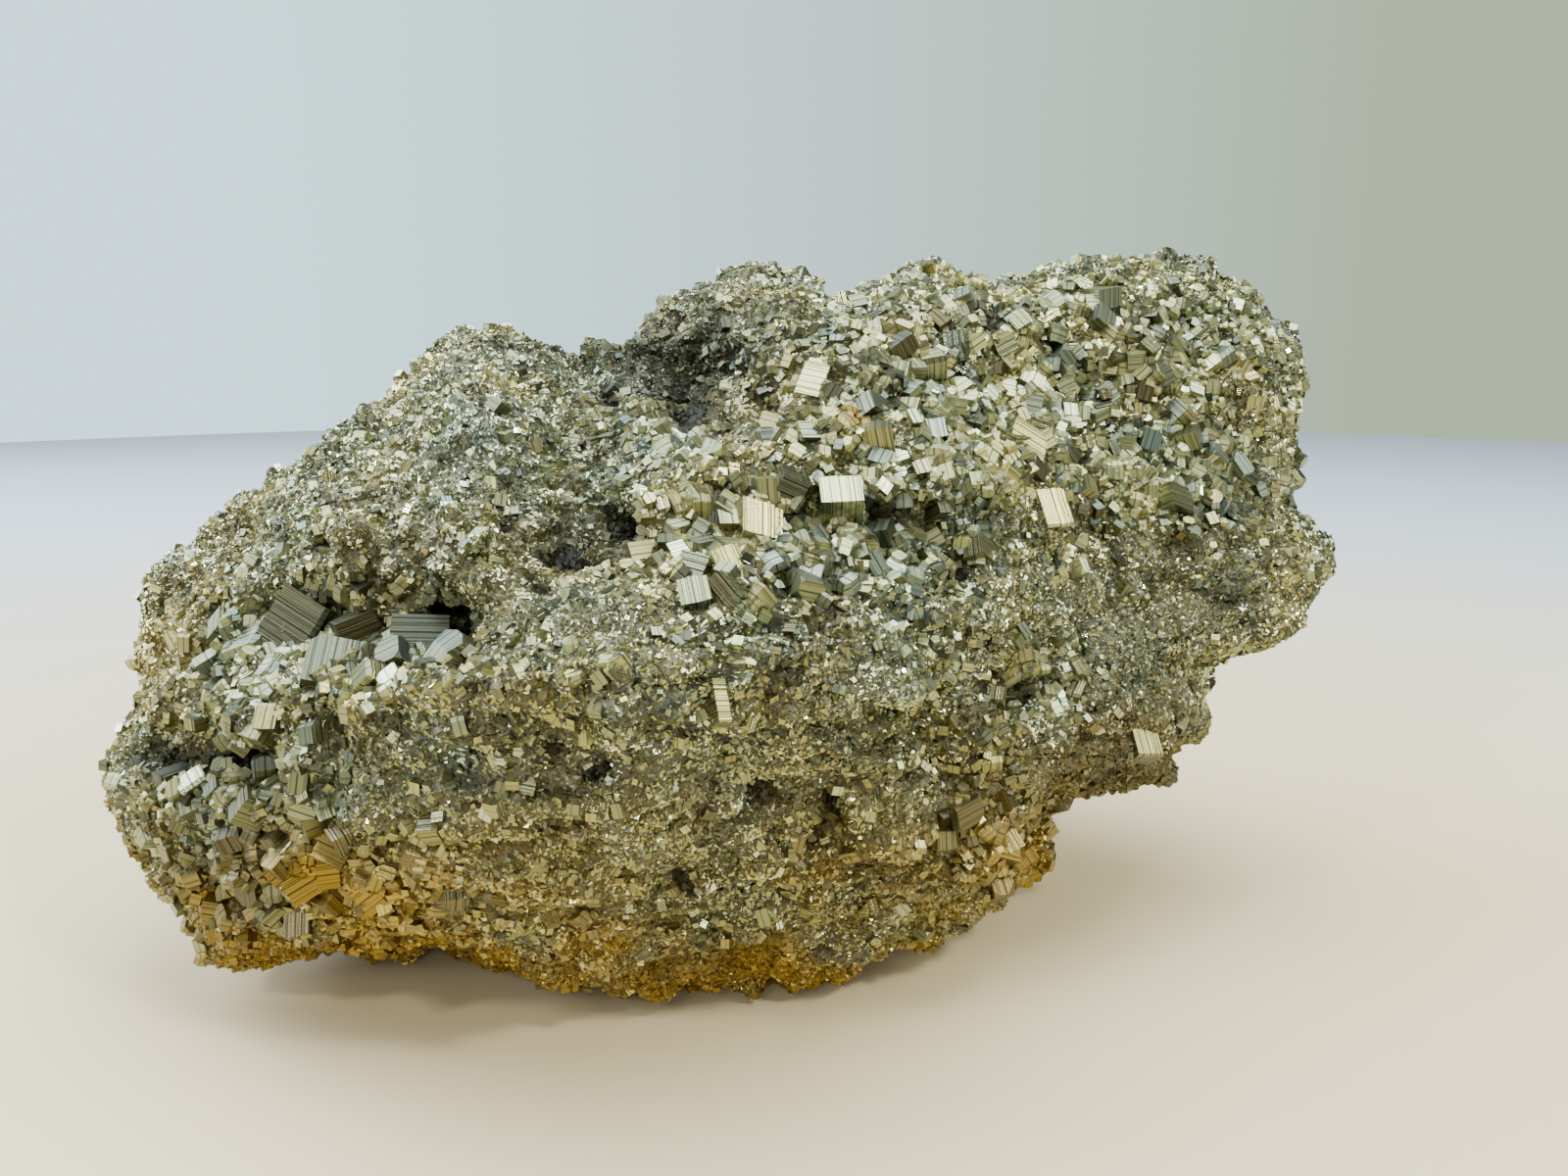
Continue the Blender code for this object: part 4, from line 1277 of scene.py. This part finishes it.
def crystal_material():
    """Pyrite crystal faces: bare iron sulphide, a hard metal that grew with mirror-like striped faces.

    The eye sees pale brass that varies from crystal to crystal, with sharp bright glints and fine parallel
    stripes, whose grooves get painted shade. Small crystals show little of the stripes, and glossy ones little
    of the grit.
    """
    material, tree, place = new_material("pyrite_crystal_faces")
    tint, stripe, gloss, coarse = (stored(tree, name) for name in ("tint", "stripe_mm", "gloss", "coarse"))
    polish = mapped(tree, gloss, 0.0, 1.0, ROUGHNESS_HIGH, ROUGHNESS_LOW)
    colour, roughness = weathered_with_painted_light(tree, place, ramp(tree, tint, CRYSTAL_TINTS), polish)
    stripes = {"W": stripe, "Scale": STRIPES_PER_MM, "Detail": STRIPE_DETAIL, "Roughness": STRIPE_FINENESS}
    lines = add(tree, "ShaderNodeTexNoise", stripes, noise_dimensions="1D").outputs["Fac"]
    # Painted shade in the grooves between the stripes, which darkens the colour of larger crystals
    groove_painted_shade = mapped(tree, lines, GROOVE_LEVEL - GROOVE_SOFT, GROOVE_LEVEL, GROOVE_PAINTED_SHADE)
    colour = blended(tree, coarse, colour, groove_painted_shade, "MULTIPLY")
    grit = soft_noise(tree, place, GRIT, GRIT_DETAIL)
    gritty = product(tree, mapped(tree, gloss, 0.0, 1.0, 1.0, LEAST_GRIT), coarse)
    striped = bump(tree, {"Strength": coarse, "Height": lines, "Distance": STRIPE_DEPTH})
    rough = bump(tree, {"Strength": gritty, "Height": grit, "Distance": GRIT_DEPTH, "Normal": striped})
    inputs = {"Base Color": colour, "Metallic": CRYSTAL_METAL, "Roughness": roughness, "Normal": rough}
    surface(tree, "ShaderNodeBsdfPrincipled", inputs)
    return material


def grain_facets(tree, place):
    """Height of tiny broken grains: each cell of a Voronoi pattern is a plane that slopes its own way.

    A cell's colour is three random numbers, which less a half each are the direction of its slope. The height
    is that direction's share of the way from the cell's middle.
    """
    cells = add(tree, "ShaderNodeTexVoronoi", {"Vector": place, "Scale": 1.0 / SKIN_GRAIN})
    slope, from_middle = (
        add(tree, "ShaderNodeVectorMath", {0: whole, 1: less}, operation="SUBTRACT").outputs["Vector"]
        for whole, less in ((cells.outputs["Color"], (0.5, 0.5, 0.5)), (place, cells.outputs["Position"]))
    )
    height = add(tree, "ShaderNodeVectorMath", {0: slope, 1: from_middle}, operation="DOT_PRODUCT")
    return bump(tree, {"Height": height.outputs["Value"], "Distance": SKIN_GRAIN_SLOPE})


def skin_material():
    """Massive pyrite between the crystals: broken, fine-grained and tarnished, so duller and darker."""
    material, tree, place = new_material("massive_pyrite")
    tone = soft_noise(tree, place, TONE_PATCH, TONE_DETAIL)
    colour, roughness = weathered_with_painted_light(tree, place, ramp(tree, tone, SKIN_TINTS), SKIN_ROUGHNESS)
    inputs = {
        "Base Color": colour, "Metallic": SKIN_METAL, "Roughness": roughness,
        "Specular IOR Level": SKIN_SHINE, "Normal": grain_facets(tree, place),
    }
    surface(tree, "ShaderNodeBsdfPrincipled", inputs)
    return material


def floor_material():
    """Matt painted board, pale cream near the stone and pale grey-blue further off."""
    material, tree, place = new_material("painted_board")
    distance = add(tree, "ShaderNodeVectorMath", {0: place}, operation="LENGTH").outputs["Value"]
    colour = ramp(tree, mapped(tree, distance, *FLOOR_CHANGE), FLOOR_COLOURS)
    inputs = {"Base Color": colour, "Roughness": FLOOR_ROUGHNESS, "Specular IOR Level": FLOOR_SHINE}
    surface(tree, "ShaderNodeBsdfPrincipled", inputs)
    return material


def wall_material():
    """Paper backdrop that glows by itself, so it needs no lights of its own: painted light, darker to the
    right.
    """
    material, tree, place = new_material("paper_backdrop")
    across = add(tree, "ShaderNodeSeparateXYZ", {"Vector": place}).outputs["X"]
    colour = ramp(tree, mapped(tree, across, -BACKDROP_RADIUS, BACKDROP_RADIUS), WALL_COLOURS)
    surface(tree, "ShaderNodeEmission", {"Color": colour, "Strength": WALL_GLOW})
    return material


def stage_piece(name, places, faces, material):
    """A piece of the studio, which isn't part of the stone."""
    mesh = bpy.data.meshes.new(name)
    mesh.from_pydata(places.tolist(), [], faces)
    mesh.materials.append(material)
    piece = bpy.data.objects.new(name, mesh)
    bpy.context.scene.collection.objects.link(piece)
    return piece


def stage():
    """A round floor, and a round backdrop that only the camera sees, so it adds no light to the stone."""
    turn = np.linspace(0.0, 2.0 * math.pi, STAGE_SIDES, endpoint=False)
    circle = np.stack([np.cos(turn), np.sin(turn)], axis=-1) * BACKDROP_RADIUS
    ground = np.column_stack([circle, np.zeros(STAGE_SIDES)])
    stage_piece("floor", ground, [list(range(STAGE_SIDES))], floor_material())
    rings = np.concatenate([ground + (0, 0, height) for height in (-MM, BACKDROP_HEIGHT)])
    number = np.arange(STAGE_SIDES)
    after = np.roll(number, -1)
    walls = np.stack([number, number + STAGE_SIDES, after + STAGE_SIDES, after], axis=-1)
    lid = number[::-1] + STAGE_SIDES
    backdrop = stage_piece("backdrop", rings, [*walls.tolist(), lid.tolist()], wall_material())
    backdrop.visible_glossy = False
    backdrop.visible_diffuse = False
    backdrop.visible_shadow = False


def softbox(name, place, size, colour, power):
    """A flat studio light that faces the stone and isn't seen by the camera."""
    light = bpy.data.lights.new(name, "AREA")
    light.shape = "RECTANGLE"
    light.size, light.size_y = size
    light.color = linear(colour)[:3]
    light.energy = power
    lamp = bpy.data.objects.new(name, light)
    lamp.location = place
    lamp.rotation_euler = (Vector(AIM) - Vector(place)).to_track_quat("-Z", "Y").to_euler()
    lamp.visible_camera = False
    bpy.context.scene.collection.objects.link(lamp)


def studio():
    """Wide soft lights above and around the stone, small lamps for glints, and a dim surround."""
    for name, settings in SOFTBOXES.items():
        softbox(name, *settings)
    world = bpy.data.worlds.new("surround")
    world.use_nodes = True
    tree = world.node_tree
    tree.nodes.clear()
    direction = add(tree, "ShaderNodeTexCoord").outputs["Generated"]
    up = add(tree, "ShaderNodeSeparateXYZ", {"Vector": direction}).outputs["Z"]
    colour = ramp(tree, mapped(tree, up, -1.0, 1.0), SURROUND)
    background = add(tree, "ShaderNodeBackground", {"Color": colour, "Strength": SURROUND_STRENGTH})
    add(tree, "ShaderNodeOutputWorld", {"Surface": background.outputs["Background"]})
    bpy.context.scene.world = world


def camera():
    """The photo's view: a wide lens a hand's breadth from the stone, looking down a little."""
    lens = bpy.data.cameras.new("camera")
    lens.lens = CAMERA_LENS
    lens.clip_start = CAMERA_NEAR
    viewer = bpy.data.objects.new("camera", lens)
    viewer.location = CAMERA_PLACE
    viewer.rotation_euler = (math.radians(CAMERA_TILT), 0.0, 0.0)
    bpy.context.scene.collection.objects.link(viewer)
    bpy.context.scene.camera = viewer


def crystal_forms(rng):
    """The forms that crystals take in turn, several of each kind."""
    prisms = [striated_form(rng) for _ in range(STRIATED_FORMS)]
    blocks = [crystal_form(*habit, rng) for habit in BLOCK_HABITS for _ in range(FORMS_PER_HABIT)]
    rounded = [crystal_form(*habit, rng) for habit in PYRITOHEDRON_HABITS for _ in range(FORMS_PER_HABIT)]
    cubes = [crystal_form(*CUBE_HABIT, rng) for _ in range(FORMS_PER_HABIT)]
    corners = [corner_form(rng) for _ in range(CORNER_FORMS)]
    return Forms(prisms, blocks, rounded, cubes, corners)


def packed_crystals(forms, material):
    """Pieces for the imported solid's own crystals, at their places there. It gives those crystals."""
    named = named_crystals()
    crystal_pieces("placed_crystals", forms.prisms, named, material)
    rng = np.random.default_rng(SEED + 1)
    patches = [patch_crystals(FRONT_PATCHES, True, rng), patch_crystals(BACK_PATCHES, False, rng)]
    bevelled = forms.blocks[FORMS_PER_HABIT:]
    crystal_pieces("patch_crystals", forms.prisms + bevelled, joined(patches), material)
    return joined([named, *patches])


def fine_grains(skin, forms, taken, material, rng):
    """Pieces for the finest grains, which fill the room between the other crystals."""
    spots = open_spots(skin, "fine", taken, rng)
    is_cube = rng.random(len(spots.place)) < CUBE_SHARE
    cube_grains = crystals_on(pick(spots, is_cube), "fine", False, rng)
    crystal_pieces("cube_grains", forms.cubes, cube_grains, material)
    corner_grains = crystals_on(pick(spots, ~is_cube), "fine", True, rng)
    crystal_pieces("corner_grains", forms.corners, corner_grains, material)


def dress_stone():
    """The stone's skin, with large, middle-sized, small and fine crystals in pieces over it."""
    rng = np.random.default_rng(SEED)
    material = crystal_material()
    skin = skin_shape()
    skin_piece(skin, skin_material())

    forms = crystal_forms(rng)
    taken = packed_crystals(forms, material)
    bevelled = forms.blocks[FORMS_PER_HABIT:-FORMS_PER_HABIT]
    for size, choice in (
        ("large", forms.prisms + forms.blocks),
        ("middle", forms.cubes + forms.rounded + bevelled),
        ("small", forms.cubes),
    ):
        crystals = crystals_on(open_spots(skin, size, taken, rng), size, False, rng)
        crystal_pieces(f"{size}_crystals", choice, crystals, material)
        taken = joined([taken, crystals])
    fine_grains(skin, forms, taken, material, rng)


def main():
    dress_stone()
    stage()
    studio()
    camera()
    bpy.context.scene.view_settings.view_transform = "AgX"
    bpy.context.scene.view_settings.gamma = PICTURE_GAMMA


main()
